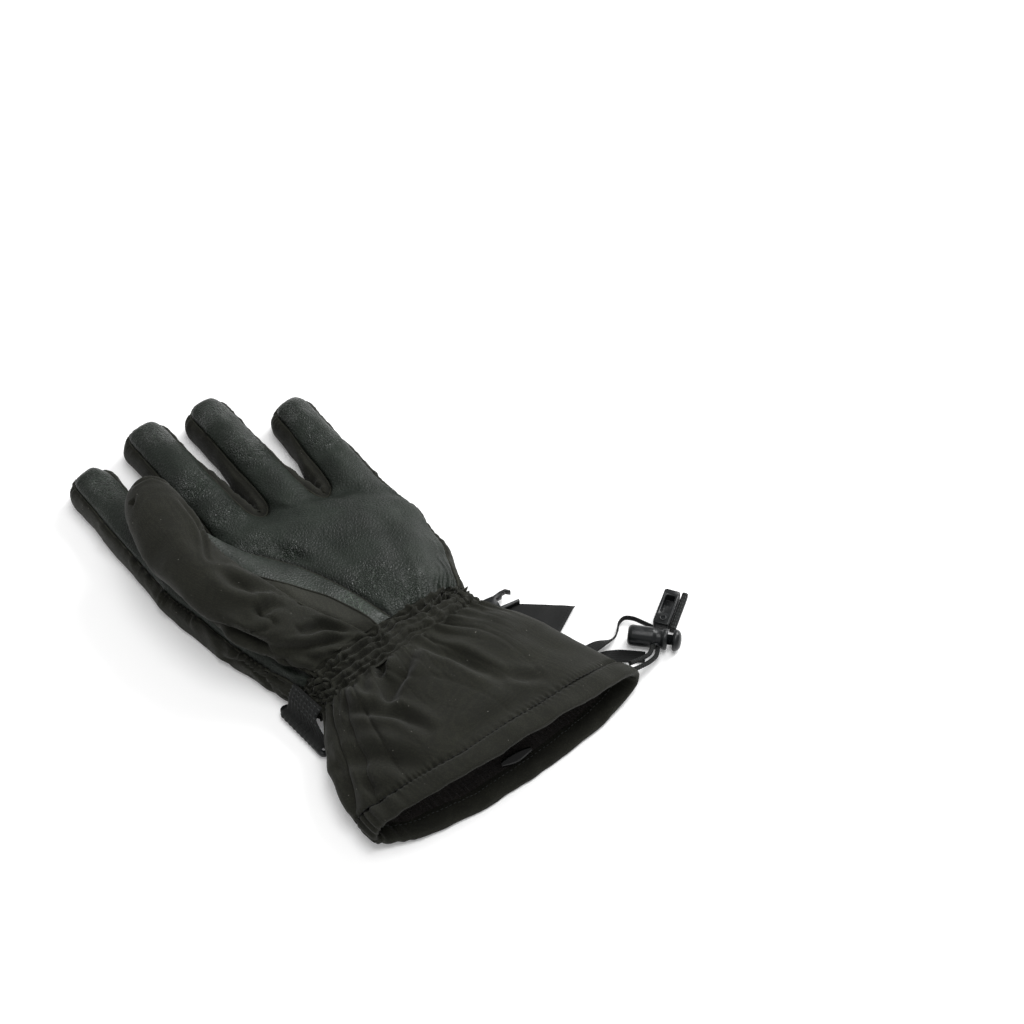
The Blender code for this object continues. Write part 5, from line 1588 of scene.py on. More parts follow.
def turned(name, start, axis, profile, sides, flat=None):
    """Solid of revolution from rows of distance and radius; flat(d, angle) trims the radius."""
    axis = np.asarray(axis, float)
    axis /= np.linalg.norm(axis)
    u = np.cross(axis, [0, 0, 1.0])
    u /= np.linalg.norm(u)
    v = np.cross(u, axis)
    start = np.asarray(start, float)
    points = []
    for d, r in profile:
        for k in range(sides):
            a = 2 * math.pi * k / sides
            rr = r * (flat(d, a) if flat else 1.0)
            points.append(start + axis * d + u * (rr * math.cos(a)) + v * (rr * math.sin(a)))
    rows = len(profile)
    faces = grid_faces(rows, sides).tolist()
    faces += [tuple(range(sides)), tuple((rows - 1) * sides + k for k in range(sides))]
    return faced_outward(to_object(name, points, faces, "gloss"))


def rounded_copy(node, name, width):
    """A copy of a solid with its moulded edges rounded."""
    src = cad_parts[node]
    bm = bmesh.new()
    bm.from_mesh(src.data)
    bmesh.ops.remove_doubles(bm, verts=bm.verts, dist=1e-5)
    bmesh.ops.dissolve_limit(bm, angle_limit=math.radians(2), verts=bm.verts, edges=bm.edges)
    mesh = bpy.data.meshes.new(name)
    bm.to_mesh(mesh)
    bm.free()
    obj = bpy.data.objects.new(name, mesh)
    bpy.context.scene.collection.objects.link(obj)
    mod = obj.modifiers.new("round", "BEVEL")
    mod.width = width * MM
    mod.segments = 3
    mod.limit_method = "ANGLE"
    mod.angle_limit = math.radians(25.0)
    mod.harden_normals = True
    applied(obj)
    obj.data.materials.clear()
    obj.data.materials.append(material("gloss"))
    obj.data.polygons.foreach_set("use_smooth", [True] * len(obj.data.polygons))
    return obj


# fittings, on the solids' tables; the strap lies closer round the buckle's outer bar
STRAP_WIDTH = 30.4
STRAP = (((-2.0, 0.1, 19.5), (-3.6, -0.6, 19.5)), ((0.9, 0.11, 13.0), (0.7, -0.62, 13.0)),
         ((4.0, 0.06, 7.0), (-0.6, -0.95, 7.0)), ((6.9, 0.07, 5.5), (2.8, -0.97, 5.5)),
         ((8.2, 0.07, 3.4), (4.1, -0.97, 3.4)), ((6.9, 0.07, 1.6), (2.8, -0.97, 1.6)))
BUCKLE = ((6.3, 0.13, 3.4), (2.3, -1.03, 3.4), (-2.6, -1.03, 2.2), (2.0, 0.13, 2.2))
LABEL_FREE = ((6.3, -30.2), (15.4, -31.8), (30.6, -20.5), (17.8, 1.5))
TAPE_LOOP = ((-0.6, 0.0, 4.6, 7.0, 8), (11.6, -1.2, 4.6, 7.0, 16), (20.6, -2.6, 3.6, 4.0, 60),
             (26.6, 0.6, 2.6, 3.2, 88), (30.4, 3.6, 2.6, 3.2, 90), (34.8, 4.2, 2.6, 3.2, 90),
             (38.2, 0.8, 2.6, 3.2, 90), (40.4, -4.8, 2.6, 3.2, 90), (42.1, -9.8, 2.6, 3.2, 90))
TAPE_TAIL = ((-9.9, 0.0, 1.8, 8.0, 0), (6.0, -1.0, 1.2, 8.0, 0), (13.6, -4.6, 1.0, 8.0, 0),
             (19.6, -9.8, 1.0, 7.5, 0), (24.4, -14.6, 1.0, 7.0, 0))
LOCK_AXIS = (10.5, -12.0, 0.0)
LOCK_R = 5.5
LOCK_LENGTH = 21.0
CORDS = (
    ("drawcord_upper", ((-1.75, 7.0, 15.8), (4.3, 7.4, 13.0), (9.8, 8.1, 10.2),
                        (14.8, 9.6, 7.9), (19.45, 12.85, 6.4))),
    ("drawcord_lower", ((-0.9, 4.4, 12.8), (4.8, 4.6, 10.6), (10.8, 5.3, 8.2),
                        (16.8, 7.2, 6.0), (21.7, 10.95, 4.9))),
)
CORNER = np.array([CUFF_SECTIONS[-1][2] - 1.4, CUFF_Y - 0.92 * CUFF_LENGTH, 0.0])
BLOCK_AT = CORNER + np.array([32.4, 20.8, 0])
BLOCK_TURN = np.array([0.857, 0.515, 0]) / math.hypot(0.857, 0.515)
BLOCK_LENGTH, BLOCK_WIDTH = 23.3, 8.6


def strap_corner(out, along, z):
    y = WRIST_Y + along * STRAP_WIDTH
    side = PALM_ROWS[0][1] - SIDE_BULGE
    if y < CUFF_Y:
        side = table_at(CUFF_SECTIONS, y, 1)
    return np.array([side - out, y, z])


def sheet_faces(rows, cols):
    """Faces of a thin sheet: an upper grid, the same grid below it, and the rim."""
    w, size = cols + 1, (rows + 1) * (cols + 1)
    faces = []
    for i in range(rows):
        for k in range(cols):
            a = i * w + k
            faces.append((a, a + 1, a + w + 1, a + w))
            faces.append((size + a + w, size + a + w + 1, size + a + 1, size + a))
    rim = list(range(w)) + [i * w + cols for i in range(1, rows + 1)]
    rim += [rows * w + k for k in range(cols - 1, -1, -1)] + [i * w for i in range(rows - 1, 0, -1)]
    return faces + [(b, a, size + a, size + b) for a, b in zip(rim, rim[1:] + rim[:1])]


def ribbed_sheet(name, rows, across, down, thick, rib_count, rib_depth):
    """A webbing sheet lofted through rows of two corners; ribs run from one row to the next."""
    rows = [(np.asarray(a, float), np.asarray(b, float)) for a, b in rows]
    left = smooth_line([r[0] for r in rows], down)
    right = smooth_line([r[1] for r in rows], down)
    n = len(left)
    grid = np.empty((n, across + 1, 3))
    for j in range(across + 1):
        grid[:, j] = left + (right - left) * (j / across)
    du = np.gradient(grid, axis=1)
    dv = np.gradient(grid, axis=0)
    nrm = np.cross(du, dv)
    nrm /= np.linalg.norm(nrm, axis=2)[:, :, None]
    j = np.arange(across + 1) / across
    rib = rib_depth * (0.5 - 0.5 * np.cos(2 * np.pi * rib_count * j))
    rim = np.clip(np.minimum(j, 1 - j) * rib_count / 0.6, 0, 1)
    half = thick / 2 * (0.55 + 0.45 * rim) - rib_depth + rib
    top = grid + nrm * half[None, :, None]
    low = grid - nrm * half[None, :, None]
    m = across + 1
    size = n * m
    points = np.vstack([top.reshape(-1, 3), low.reshape(-1, 3)])
    obj = faced_outward(to_object(name, points, sheet_faces(n - 1, across), "webbing"))
    layer = obj.data.uv_layers.new(name="run")
    wide = float(np.linalg.norm(right - left, axis=1).mean())
    long = np.concatenate([[0], np.cumsum(np.linalg.norm(np.diff((left + right) / 2, axis=0), axis=1))])
    for loop in obj.data.loops:
        v = loop.vertex_index % size
        layer.data[loop.index].uv = (long[v // m] * MM, (v % m) / across * wide * MM)
    return obj, grid, nrm


def build_strap_pieces():
    rows = [(strap_corner(*r[0]), strap_corner(*r[1])) for r in STRAP]
    obj, grid, nrm = ribbed_sheet("ribbed_strap", rows, 120, 14, 1.7, 10, 0.32)
    finish_piece(obj, ["wrist_strap"])
    # four lines of thread near the top, and a crossed patch under them
    side = 1 if nrm[:, :, 0].mean() < 0 else -1

    def on(u, v, lift=0.86):
        i = min(len(grid) - 1, max(0, int(round(v * (len(grid) - 1)))))
        j = min(grid.shape[1] - 1, max(0, int(round(u * (grid.shape[1] - 1)))))
        return grid[i, j] + nrm[i, j] * side * lift

    lines = [([on(0.03 + 0.94 * k / 40, v) for k in range(41)], False) for v in (0.03, 0.10, 0.17, 0.24)]
    cross = [([on(0.36 + 0.3 * k / 20, 0.28 + 0.14 * k / 20) for k in range(21)], False),
             ([on(0.66 - 0.3 * k / 20, 0.28 + 0.14 * k / 20) for k in range(21)], False)]
    for v in (0.47, 0.52, 0.57):
        cross.append(([on(0.38 + 0.26 * k / 20, v) for k in range(21)], False))
    for u in (0.43, 0.51, 0.59):
        cross.append(([on(u, 0.42 + 0.2 * k / 16) for k in range(17)], False))
    stitch("strap_stitches", lines, 2.6, 2.1, 0.62, "thread")
    stitch("strap_cross", cross, 1.9, 1.6, 0.5, "dull_thread")
    # moulded frame: one rounded bar bent round four corners
    centre = [strap_corner(*c) for c in BUCKLE]
    ring = []
    for k in range(4):
        p, q, r = centre[k - 1], centre[k], centre[(k + 1) % 4]
        a = (p - q) / np.linalg.norm(p - q)
        b = (r - q) / np.linalg.norm(r - q)
        cut = 2.2
        for i in range(9):
            t = i / 8
            ring.append(q + a * cut * (1 - t) ** 2 + b * cut * t ** 2)
        nxt = centre[(k + 1) % 4]
        start, end = q + b * cut, nxt - b * cut
        for i in range(1, 10):
            ring.append(start + (end - start) * i / 10)
    obj = swept("moulded_frame", np.array(ring), oval(1.45, 1.6, 20, 0.7), "gloss", closed=True)
    finish_piece(obj, ["strap_buckle"])


def build_label_piece():
    """Soft folded label, bare, its free edge curling a little."""
    outline = []
    for out, dy in LABEL_FREE:
        y = CUFF_Y + dy
        outline.append(np.array([table_at(CUFF_SECTIONS, y, 2) + out, y, 0.0]))
    inner = [np.array([table_at(CUFF_SECTIONS, y, 2) - 3.0, y, 0]) for y in (CUFF_Y - 6.0, CUFF_Y - 29.0)]
    far_a, far_b = outline[3], outline[2]
    near_a, near_b = inner[0], outline[0]
    n, m = 40, 34
    top = []
    for i in range(n + 1):
        u = i / n
        for j in range(m + 1):
            v = j / m
            p = (near_a * (1 - u) + far_a * u) * (1 - v) + (near_b * (1 - u) + far_b * u) * v
            z = 3.0 + 0.55 * math.sin(2.2 * u + 1.1 * v) + 0.5 * u * (1 - v) + 0.25 * math.sin(6 * u + 3 * v)
            z += 0.35 * noise.noise(Vector((p[0] / 8, p[1] / 8, 3)))
            if u > 0.8:
                z -= 1.0 * ((u - 0.8) / 0.2) ** 2
            top.append((p[0], p[1], z))
    w = m + 1
    half = []
    for k in range(len(top)):
        half.append(0.18 + 0.22 * min(min(k // w, n - k // w) / 2.0, min(k % w, m - k % w) / 2.0, 1.0))
    up, low = np.array(top), np.array(top)
    up[:, 2] += half
    low[:, 2] -= half
    obj = faced_outward(to_object("bare_label", np.vstack([up, low]), sheet_faces(n, m), "satin"))
    finish_piece(obj, ["side_label"])
    edge = [i * w + 2 for i in range(3, n - 1)] + [(n - 2) * w + j for j in range(2, m - 1)]
    edge += [i * w + m - 2 for i in range(n - 2, 3, -1)]
    edge = up[edge] + np.array([0, 0, 0.12])
    stitch("label_stitches", [(edge, False)], 1.7, 1.2, 0.3, "dark_thread")


def build_clip_pieces():
    clip = rounded_copy("plug_clip", "plug_clip_moulded", 0.45)
    finish_piece(clip, ["plug_clip"])
    block = rounded_copy("clip_block", "clip_block_moulded", 0.55)
    finish_piece(block, ["clip_block"])
    side = np.array([-BLOCK_TURN[1], BLOCK_TURN[0], 0])
    peg = BLOCK_AT + BLOCK_TURN * 3.9 + np.array([0, 0, 6.75])
    rim = [(0, 1.95), (0.35, 1.95), (0.55, 1.75), (0.55, 1.25), (0.35, 1.1), (0.1, 1.0), (0.05, 0.2)]
    eye = turned("block_eyelet", peg, (0.001, 0, 1.0), rim, 24)
    finish_piece(eye)
    b = -BLOCK_WIDTH / 2 - 0.35
    a0 = BLOCK_AT + BLOCK_TURN * 0.6 + side * (b - 1.6) + np.array([0, 0, 0.7])
    a1 = BLOCK_AT + BLOCK_TURN * (BLOCK_LENGTH + 2.0) + side * (b - 1.6) + np.array([0, 0, 0.7])
    rows = [(a, a + np.array([0, 0, 3.9])) for a in (a0, (a0 + a1) / 2, a1)]
    strip = ribbed_sheet("folded_webbing", rows, 32, 24, 3.1, 5, 0.22)[0]
    finish_piece(strip, ["clip_webbing"])
    top = [a0 + (a1 - a0) * t + side * 0.5 + np.array([0, 0, 4.05]) for t in np.linspace(0.03, 0.97, 40)]
    top2 = [p - side * 1.3 for p in top]
    stitch("webbing_stitches", [(top, False), (top2, False)], 2.3, 1.7, 0.5, "thread")


def build_tapes():
    for name, share, rows, ribs in (("tape_loop", 0.54, TAPE_LOOP, 5), ("tape_tail", 0.61, TAPE_TAIL, 6)):
        y = CUFF_Y - share * CUFF_LENGTH
        side = table_at(CUFF_SECTIONS, y, 2)
        rows = [(side + out, y + dy, z + 0.05, w, t) for out, dy, z, w, t in rows]
        obj = tape(name + "_ribbed", rows, 0.95, ribs, 0.16)
        finish_piece(obj, [name])


def build_cord_pieces():
    """Two braided strands, held by the hem and the cord lock."""
    for name, rows in CORDS:
        path = smooth_line([np.asarray(r) + CORNER for r in rows], 30)
        sec_n = 24

        def section(i, run):
            out = []
            for k in range(sec_n):
                a = 2 * math.pi * k / sec_n
                weave = math.sin(4 * a + run * 2.1) * math.sin(4 * a - run * 2.1)
                r = CORD_D / 2 + 0.11 * weave - 0.04
                out.append((r * math.cos(a), r * math.sin(a)))
            return out
        obj = swept(name + "_braid", path, section, "braid")
        finish_piece(obj, [name])


def build_lock():
    """Barrel of the cord lock with its collar, cord hole and domed button."""
    start = CORNER + np.array([15.0, 26.8, LOCK_R + 0.3])
    L, R = LOCK_LENGTH, LOCK_R
    body = [(0.0, 0.35), (0.0, 0.66), (0.012, 0.78), (0.035, 0.9), (0.07, 0.97), (0.11, 1.0), (0.3, 1.0),
            (0.45, 1.0), (0.6, 1.0), (0.635, 0.985), (0.66, 0.94), (0.69, 0.88), (0.72, 0.86), (0.8, 0.86),
            (0.835, 0.88), (0.855, 0.95), (0.87, 1.01), (0.885, 1.03), (0.95, 1.03), (0.965, 1.0),
            (0.975, 0.95), (0.98, 0.8), (0.98, 0.6), (0.95, 0.58), (0.9, 0.57)]

    def flat(d, a):
        t = d / L
        if 0.16 < t < 0.58:
            return 1 - 0.05 * max(0.0, math.cos(2 * a)) ** 3
        return 1.0
    obj = turned("lock_barrel_moulded", start, LOCK_AXIS, [(t * L, r * R) for t, r in body], 56, flat)
    finish_piece(obj, ["lock_barrel"])
    button = [(0.93, 0.5), (1.1, 0.5), (1.105, 0.6), (1.11, 0.86), (1.12, 0.96), (1.135, 1.0), (1.16, 1.03),
              (1.19, 1.03), (1.22, 1.0), (1.245, 0.95), (1.27, 0.86), (1.295, 0.72), (1.315, 0.5),
              (1.325, 0.26), (1.33, 0.03)]
    obj = turned("lock_button_moulded", start, LOCK_AXIS, [(t * L, r * R) for t, r in button], 56)
    finish_piece(obj, ["lock_button"])
    # hole where the strands enter
    axis = np.asarray(LOCK_AXIS) / np.linalg.norm(LOCK_AXIS)
    path_u, path_l = (smooth_line([np.asarray(r) + CORNER for r in rows], 8) for _, rows in CORDS)
    mid = (path_u[-1] + path_l[-1]) / 2
    back = mid - start
    along = float(back @ axis)
    radial = back - axis * along
    radial /= np.linalg.norm(radial)
    at = start + axis * along + radial * (R - 0.7)
    rim = [(0, 2.3), (0.75, 2.35), (1.05, 2.15), (1.05, 1.75), (0.7, 1.6), (0.3, 1.55), (0.25, 0.2)]
    eye = turned("lock_eye", at, radial, rim, 28)
    finish_piece(eye)


def build_tab_piece():
    """Small curved tab, bare, standing on the lower lining at the mouth."""
    y, z = CUFF_Y - 0.81 * CUFF_LENGTH, CUFF_WALL + 0.3 + LINING_WALL
    rows = ((-0.5, y + 1.2, z + 2.9, 5.0, 68), (8.0, y - 0.6, z + 3.7, 6.0, 62),
            (17.0, y - 1.0, z + 2.9, 5.0, 68))
    path = smooth_line(rows, 14)
    path[:, 1] -= 5.2
    path[:, 3] -= 0.4 + 0.09 * (path[:, 0] - 8.0) ** 2 / 4.0
    path[:, 2] += 0.9
    path[:, 4] = 196.0 - path[:, 4]

    def section(i, run):
        w, a = path[i][3], math.radians(path[i][4])
        out = []
        for k in range(20):
            t = 2 * math.pi * k / 20
            c, s = math.cos(t), math.sin(t)
            u = w / 2 * math.copysign(abs(c) ** 0.75, c)
            h = 0.42 * math.copysign(abs(s) ** 0.75, s) + 0.5 * (u / w * 2) ** 2
            out.append((u * math.cos(a) - h * math.sin(a), u * math.sin(a) + h * math.cos(a)))
        return out
    obj = swept("glossy_tab", path[:, :3], section, "satin_gloss")
    finish_piece(obj, ["size_tab"])


# the cloth pieces of the hand
CRESCENT_EDGE = ((-41.3, 19.0, 44.5), (-28.6, 2.8, 38.4), (-15.0, -12.4, 33.9), (-7.7, -27.8, 31.4),
                 (-3.5, -44.5, 29.0))


def strip_welt(obj, pts):
    """Tells leather from cloth on the thumb's strip and lays a welt between them."""
    line = smooth_line(sorted(CRESCENT_EDGE, key=lambda p: p[1]), 12)
    side = np.interp(pts[:, 1], line[:, 1], line[:, 0]) - pts[:, 0]
    attr = obj.data.attributes.new("cloth_side", "FLOAT", "POINT")
    attr.data.foreach_set("value", side.astype(np.float32))
    welt = []
    for p in line:
        near = pts[np.argsort(np.hypot(pts[:, 0] - p[0], pts[:, 1] - p[1]))[:4]]
        welt.append((p[0], p[1], near[:, 2].mean() + 0.1))
    welt = evened(np.array(welt))
    finish_piece(swept("strip_welt", welt, oval(0.5, 0.42, 10), "softshell"))


def build_hand_pieces(sizes):
    sculpt_hand(sizes)
    for k, (node, name, finish, fill) in enumerate((
            ("palm_panel", "palm_leather", "leather", 0.7),
            ("back_shell", "back_cloth", "softshell", 0.7),
            ("thumb_crescent", "thumb_strip", "strip", 0.5),
            ("thumb_shell", "thumb_cloth", "softshell", 0.7))):
        keep = Hand.labels == k
        obj = cut_cloth(name, keep, finish)
        if node == "thumb_crescent":
            strip_welt(obj, Hand.points[np.unique(Hand.faces[keep])])
        finish_piece(obj, [node])
    build_seams()


# seams by their two panels: half width and half height of the edge, how far it lies to the second
# panel, finish
SEAMS = (((0, 1), 0.62, 0.55, 0.85, "turned_edge"), ((0, 2), 0.5, 0.5, 0.5, "strip_cloth"),
         ((2, 3), 0.5, 0.5, 0.5, "turned_edge"), ((1, 3), 0.5, 0.5, 0.5, "turned_edge"),
         ((1, 2), 0.5, 0.5, 0.5, "turned_edge"), ((0, 3), 0.5, 0.5, 0.5, "turned_edge"))


def seam_edge(name, path, normal, closed, width, height, finish):
    """A thin bar of cloth along a seam; it swells a little from stitch to stitch."""
    n = 12
    tangent = np.gradient(path, axis=0)
    tangent /= np.maximum(np.linalg.norm(tangent, axis=1), 1e-9)[:, None]
    up = normal - tangent * np.einsum("ij,ij->i", normal, tangent)[:, None]
    up /= np.maximum(np.linalg.norm(up, axis=1), 1e-9)[:, None]
    side = np.cross(tangent, up)
    points = []
    for i, p in enumerate(path):
        swell = 1 + 0.16 * math.sin(i * 1.9)
        points += [p + side[i] * a + up[i] * b * swell for a, b in oval(width, height, n)]
    faces = grid_faces(len(path), n).tolist()
    base = (len(path) - 1) * n
    if closed:
        faces += [(base + k, base + (k + 1) % n, (k + 1) % n, k) for k in range(n)]
    else:
        faces += [tuple(range(n)), tuple(base + k for k in range(n))]
    obj = faced_outward(to_object(name, lowest_at_floor(np.array(points)), faces, finish))
    finish_piece(obj)


def build_seams():
    """The turned edge that runs beside each seam of the hand."""
    beside = {}
    for f, l in zip(Hand.faces.tolist(), Hand.labels.tolist()):
        mid = Hand.points[f].mean(axis=0)
        for v in f:
            beside.setdefault(v, {}).setdefault(l, []).append(mid)
    count = 0
    for pair, width, height, offset, finish in SEAMS:
        for run in chains([e for e, ls in Hand.edges.items() if ls == pair]):
            if len(run) < 6:
                continue
            path, normal = Hand.points[run], Hand.normals[run]
            mids = np.array([np.mean(beside[v].get(pair[1], [Hand.points[v]]), axis=0) for v in run])
            toward = mids - path
            toward -= normal * np.einsum("ij,ij->i", toward, normal)[:, None]
            length = np.maximum(np.linalg.norm(toward, axis=1), 1e-6)
            path = evened(path + toward / length[:, None] * offset + normal * 0.12)
            if (path[:, 2] > 0.7).sum() < 6:
                continue
            closed = run[0] == run[-1]
            if closed:
                path = path[:-1]
            seam_edge("seam_edge_%d" % count, path, normal[:len(path)], closed, width, height, finish)
            count += 1


def opened(ring):
    """A ring's points as one open line, cut at its widest gap."""
    gap = np.linalg.norm(np.roll(ring, 1, axis=0) - ring, axis=1)
    return np.roll(ring, -int(np.argmax(gap)), axis=0)


def build_cuff_pieces(sizes):
    band = sculpt_wrist(sizes)
    finish_piece(band, ["wrist_gathers"])
    shell = sculpt_cuff(sizes)
    hem = sculpt_hem()
    finish_piece(shell, ["cuff_shell"])
    finish_piece(hem, ["cuff_hem"])
    pitch, length = sizes.stitch_pitch / MM, sizes.stitch_length / MM
    ring = Cuff.stitch_ring
    line = opened(ring[ring[:, 2] > 3.0])
    stitch("hem_stitches", [(line, False)], pitch, length, 0.6, "dark_thread")
    ring = Cuff.inner_ring + Cuff.inner_square * -0.2 + np.array([0, -3.2, 0])
    line = opened(ring[ring[:, 2] < 9.0]) + np.array([0, 0, 0.45])
    stitch("lip_stitches", [(line, False)], pitch, length, 0.5, "thread")


# lamp: place, aim, width and depth, power; the photograph's shadows fall to its lower left
LAMPS = (
    ("key", (1.3, 0.1, 0.95), (0.02, 0.0, 0.0), (0.8, 0.8), 22.0),
    ("top", (0.1, -0.2, 1.7), (0.0, 0.0, 0.0), (1.2, 0.7), 15.0),
    ("fill", (-1.1, -1.1, 0.9), (0.0, 0.0, 0.02), (1.4, 1.0), 1.4),
)
WORLD_LIGHT = 0.48
FLOOR_NEAR, FLOOR_CURVE, FLOOR_SIDE = -1.6, 2.2, 5.2    # metres; it rises behind the curve's start
CAMERA_AIM = (0.113, -0.012, 0.0)
CAMERA_TURN, CAMERA_RISE = -40.0, 49.5    # degrees
CAMERA_DISTANCE, CAMERA_LENS = 1.20, 77.34


def build_stage():
    """Pale floor that curves up behind, three lamps, world light and camera."""
    n = 60
    points = []
    for i in range(n + 1):
        y = FLOOR_NEAR + FLOOR_SIDE * i / n
        z = 0.0 if y < FLOOR_CURVE else (y - FLOOR_CURVE) ** 2 * 0.9
        points += [(FLOOR_SIDE * (j / n - 0.5), y, z - 0.00002) for j in range(n + 1)]
    faces = grid_faces(n + 1, n + 1, closed=False).tolist()
    floor = to_object("floor", np.array(points) / MM, faces, "floor")
    link = bpy.context.scene.collection.objects.link
    for name, at, aim, size, power in LAMPS:
        data = bpy.data.lights.new(name, "AREA")
        data.shape = "RECTANGLE"
        data.size, data.size_y = size
        data.energy = power
        obj = bpy.data.objects.new(name, data)
        obj.location = at
        obj.rotation_euler = (Vector(aim) - Vector(at)).to_track_quat("-Z", "Y").to_euler()
        link(obj)
    world = bpy.data.worlds.new("studio")
    bpy.context.scene.world = world
    world.use_nodes = True
    back = world.node_tree.nodes["Background"]
    back.inputs["Color"].default_value = (1.0, 1.0, 1.0, 1.0)
    back.inputs["Strength"].default_value = WORLD_LIGHT
    view = bpy.context.scene.view_settings
    view.view_transform = "Standard"
    view.look = "None"

    cam = bpy.data.cameras.new("camera")
    cam.lens, cam.sensor_width = CAMERA_LENS, 36.0
    obj = bpy.data.objects.new("camera", cam)
    az, el = math.radians(CAMERA_TURN), math.radians(CAMERA_RISE)
    target = Vector(CAMERA_AIM)
    back = Vector((math.sin(az) * math.cos(el), -math.cos(az) * math.cos(el), math.sin(el)))
    obj.location = target + CAMERA_DISTANCE * back
    obj.rotation_euler = (target - obj.location).to_track_quat("-Z", "Y").to_euler()
    link(obj)
    bpy.context.scene.camera = obj


# sizes and colours that a user would change
def length_value(name, about, value, top, low=0.0):
    return bpy.props.FloatProperty(name=name, description=about, default=value, min=low, max=top,
                                   unit="LENGTH")


def share_value(name, about, value, top):
    return bpy.props.FloatProperty(name=name, description=about, default=value, min=0.0, max=top,
                                   subtype="FACTOR")


def colour_value(name, about, *value):
    return bpy.props.FloatVectorProperty(name=name, description="Colour of " + about, size=3, default=value,
                                         min=0.0, max=1.0, subtype="COLOR")


class GloveSizes(bpy.types.PropertyGroup):
    puff_cap: length_value("Puff cap", "How far the padding may push the cloth", 0.0016, 0.01)
    spare_cloth: share_value("Spare cloth", "Share by which the cloth is cut larger", 0.035, 0.3)
    gather_depth: length_value("Gather depth", "Height of the puckers at the wrist", 0.0021, 0.006)
    fold_depth: share_value("Fold depth", "How deep the folds and creases are pressed", 1.25, 3.0)
    stitch_pitch: length_value("Stitch pitch", "Distance from stitch to stitch at the hem", 0.0026, 0.02,
                               0.001)
    stitch_length: length_value("Stitch length", "Length of one stitch at the hem", 0.0017, 0.02, 0.0005)


class GloveColours(bpy.types.PropertyGroup):
    leather: colour_value("Leather", "the palm", 0.0094, 0.0132, 0.0096)
    cloth: colour_value("Cloth", "the back, thumb and cuff", 0.0130, 0.0134, 0.0092)
    lining: colour_value("Lining", "the brushed lining", 0.0095, 0.0078, 0.0068)
    webbing: colour_value("Webbing", "straps, tapes and cord", 0.0070, 0.0078, 0.0074)
    plastic: colour_value("Fittings", "buckle, clip and cord lock", 0.0075, 0.0085, 0.009)
    floor: colour_value("Floor", "the floor", 0.95, 0.95, 0.95)


class GLOVE_OT_hand(bpy.types.Operator):
    """Puffs the hand, presses in its folds and cuts it into its pieces"""
    bl_idname = "glove.hand"
    bl_label = "Hand"

    def execute(self, context):
        build_hand_pieces(context.scene.glove_sizes)
        return {"FINISHED"}


class GLOVE_OT_cuff(bpy.types.Operator):
    """Shirred wrist, cuff and rolled hem with its stitches"""
    bl_idname = "glove.cuff"
    bl_label = "Wrist and cuff"

    def execute(self, context):
        build_cuff_pieces(context.scene.glove_sizes)
        return {"FINISHED"}


class GLOVE_OT_lining(bpy.types.Operator):
    """Brushed lining and the small tab that stands on it"""
    bl_idname = "glove.lining"
    bl_label = "Lining"

    def execute(self, context):
        finish_piece(sculpt_lining(), ["cuff_lining"])
        build_tab_piece()
        return {"FINISHED"}


class GLOVE_OT_strap(bpy.types.Operator):
    """Wrist strap with its stitches and its moulded frame"""
    bl_idname = "glove.strap"
    bl_label = "Strap and buckle"

    def execute(self, context):
        build_strap_pieces()
        return {"FINISHED"}


class GLOVE_OT_label(bpy.types.Operator):
    """Bare label at the side of the cuff"""
    bl_idname = "glove.label"
    bl_label = "Label"

    def execute(self, context):
        build_label_piece()
        return {"FINISHED"}


class GLOVE_OT_clip(bpy.types.Operator):
    """Plug clip, clip block and its folded webbing"""
    bl_idname = "glove.clip"
    bl_label = "Clip and block"

    def execute(self, context):
        build_clip_pieces()
        return {"FINISHED"}


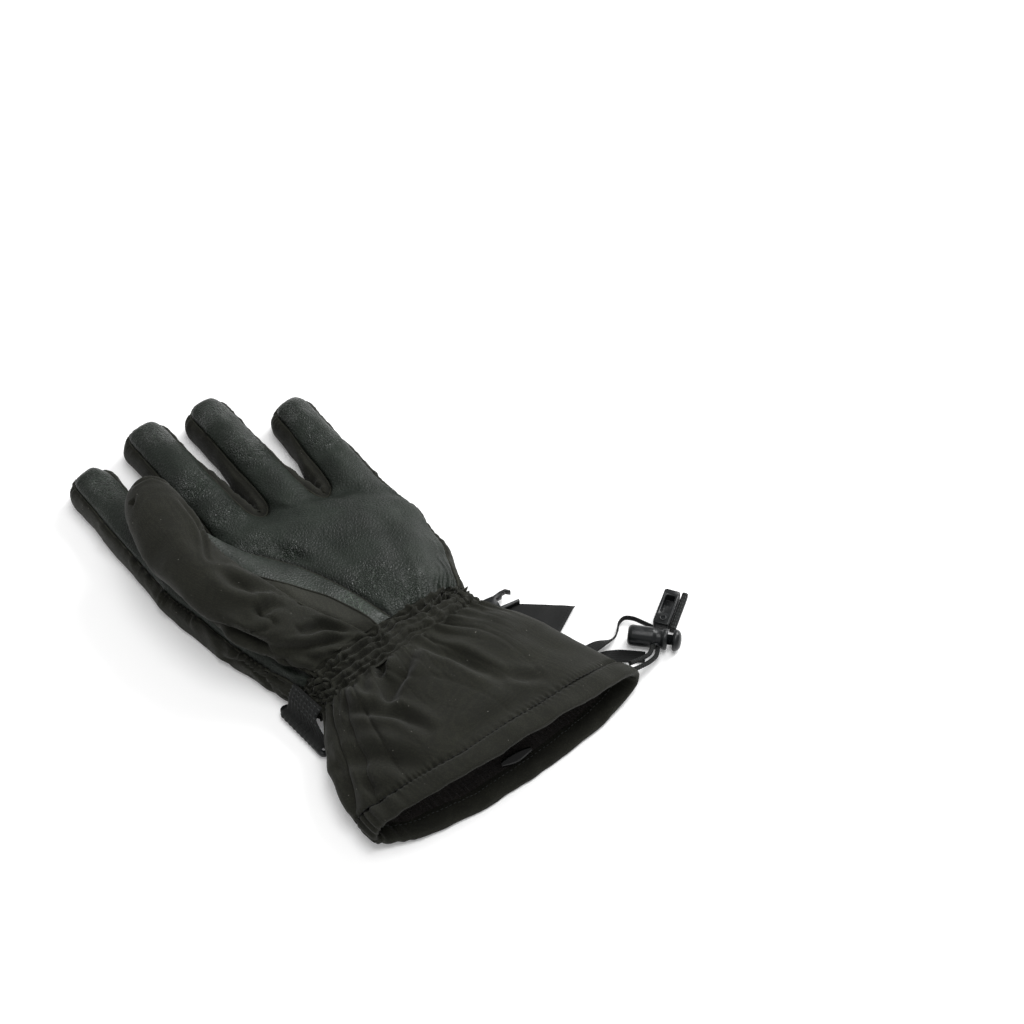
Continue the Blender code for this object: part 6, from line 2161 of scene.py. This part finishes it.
class GLOVE_OT_tapes(bpy.types.Operator):
    """Two ribbed tapes at the side of the cuff"""
    bl_idname = "glove.tapes"
    bl_label = "Tapes"

    def execute(self, context):
        build_tapes()
        return {"FINISHED"}


class GLOVE_OT_cord(bpy.types.Operator):
    """Both strands of the drawcord and the cord lock"""
    bl_idname = "glove.cord"
    bl_label = "Cord and cord lock"

    def execute(self, context):
        build_cord_pieces()
        build_lock()
        return {"FINISHED"}


class GLOVE_OT_stage(bpy.types.Operator):
    """Floor, soft lights and camera"""
    bl_idname = "glove.stage"
    bl_label = "Stage"

    def execute(self, context):
        build_stage()
        return {"FINISHED"}


OPERATORS = (GLOVE_OT_stage, GLOVE_OT_hand, GLOVE_OT_cuff, GLOVE_OT_lining, GLOVE_OT_strap, GLOVE_OT_label,
             GLOVE_OT_clip, GLOVE_OT_tapes, GLOVE_OT_cord)


class GLOVE_PT_panel(bpy.types.Panel):
    """Sizes, colours and the steps of the glove"""
    bl_idname = "GLOVE_PT_panel"
    bl_label = "Winter Glove"
    bl_space_type = "VIEW_3D"
    bl_region_type = "UI"
    bl_category = "Glove"

    def draw(self, context):
        for group in (context.scene.glove_sizes, context.scene.glove_colours):
            for key in group.bl_rna.properties.keys():
                if key not in ("rna_type", "name"):
                    self.layout.prop(group, key)
        for cls in OPERATORS:
            self.layout.operator(cls.bl_idname)


CLASSES = (GloveSizes, GloveColours) + OPERATORS + (GLOVE_PT_panel,)


def register():
    for cls in CLASSES:
        bpy.utils.register_class(cls)
    bpy.types.Scene.glove_sizes = bpy.props.PointerProperty(type=GloveSizes)
    bpy.types.Scene.glove_colours = bpy.props.PointerProperty(type=GloveColours)


def unregister():
    del bpy.types.Scene.glove_sizes
    del bpy.types.Scene.glove_colours
    for cls in reversed(CLASSES):
        bpy.utils.unregister_class(cls)


def main():
    register()
    bpy.ops.glove.stage()
    bpy.ops.glove.hand()
    bpy.ops.glove.cuff()
    bpy.ops.glove.lining()
    bpy.ops.glove.strap()
    bpy.ops.glove.label()
    bpy.ops.glove.clip()
    bpy.ops.glove.tapes()
    bpy.ops.glove.cord()


if __name__ == "__main__":
    main()
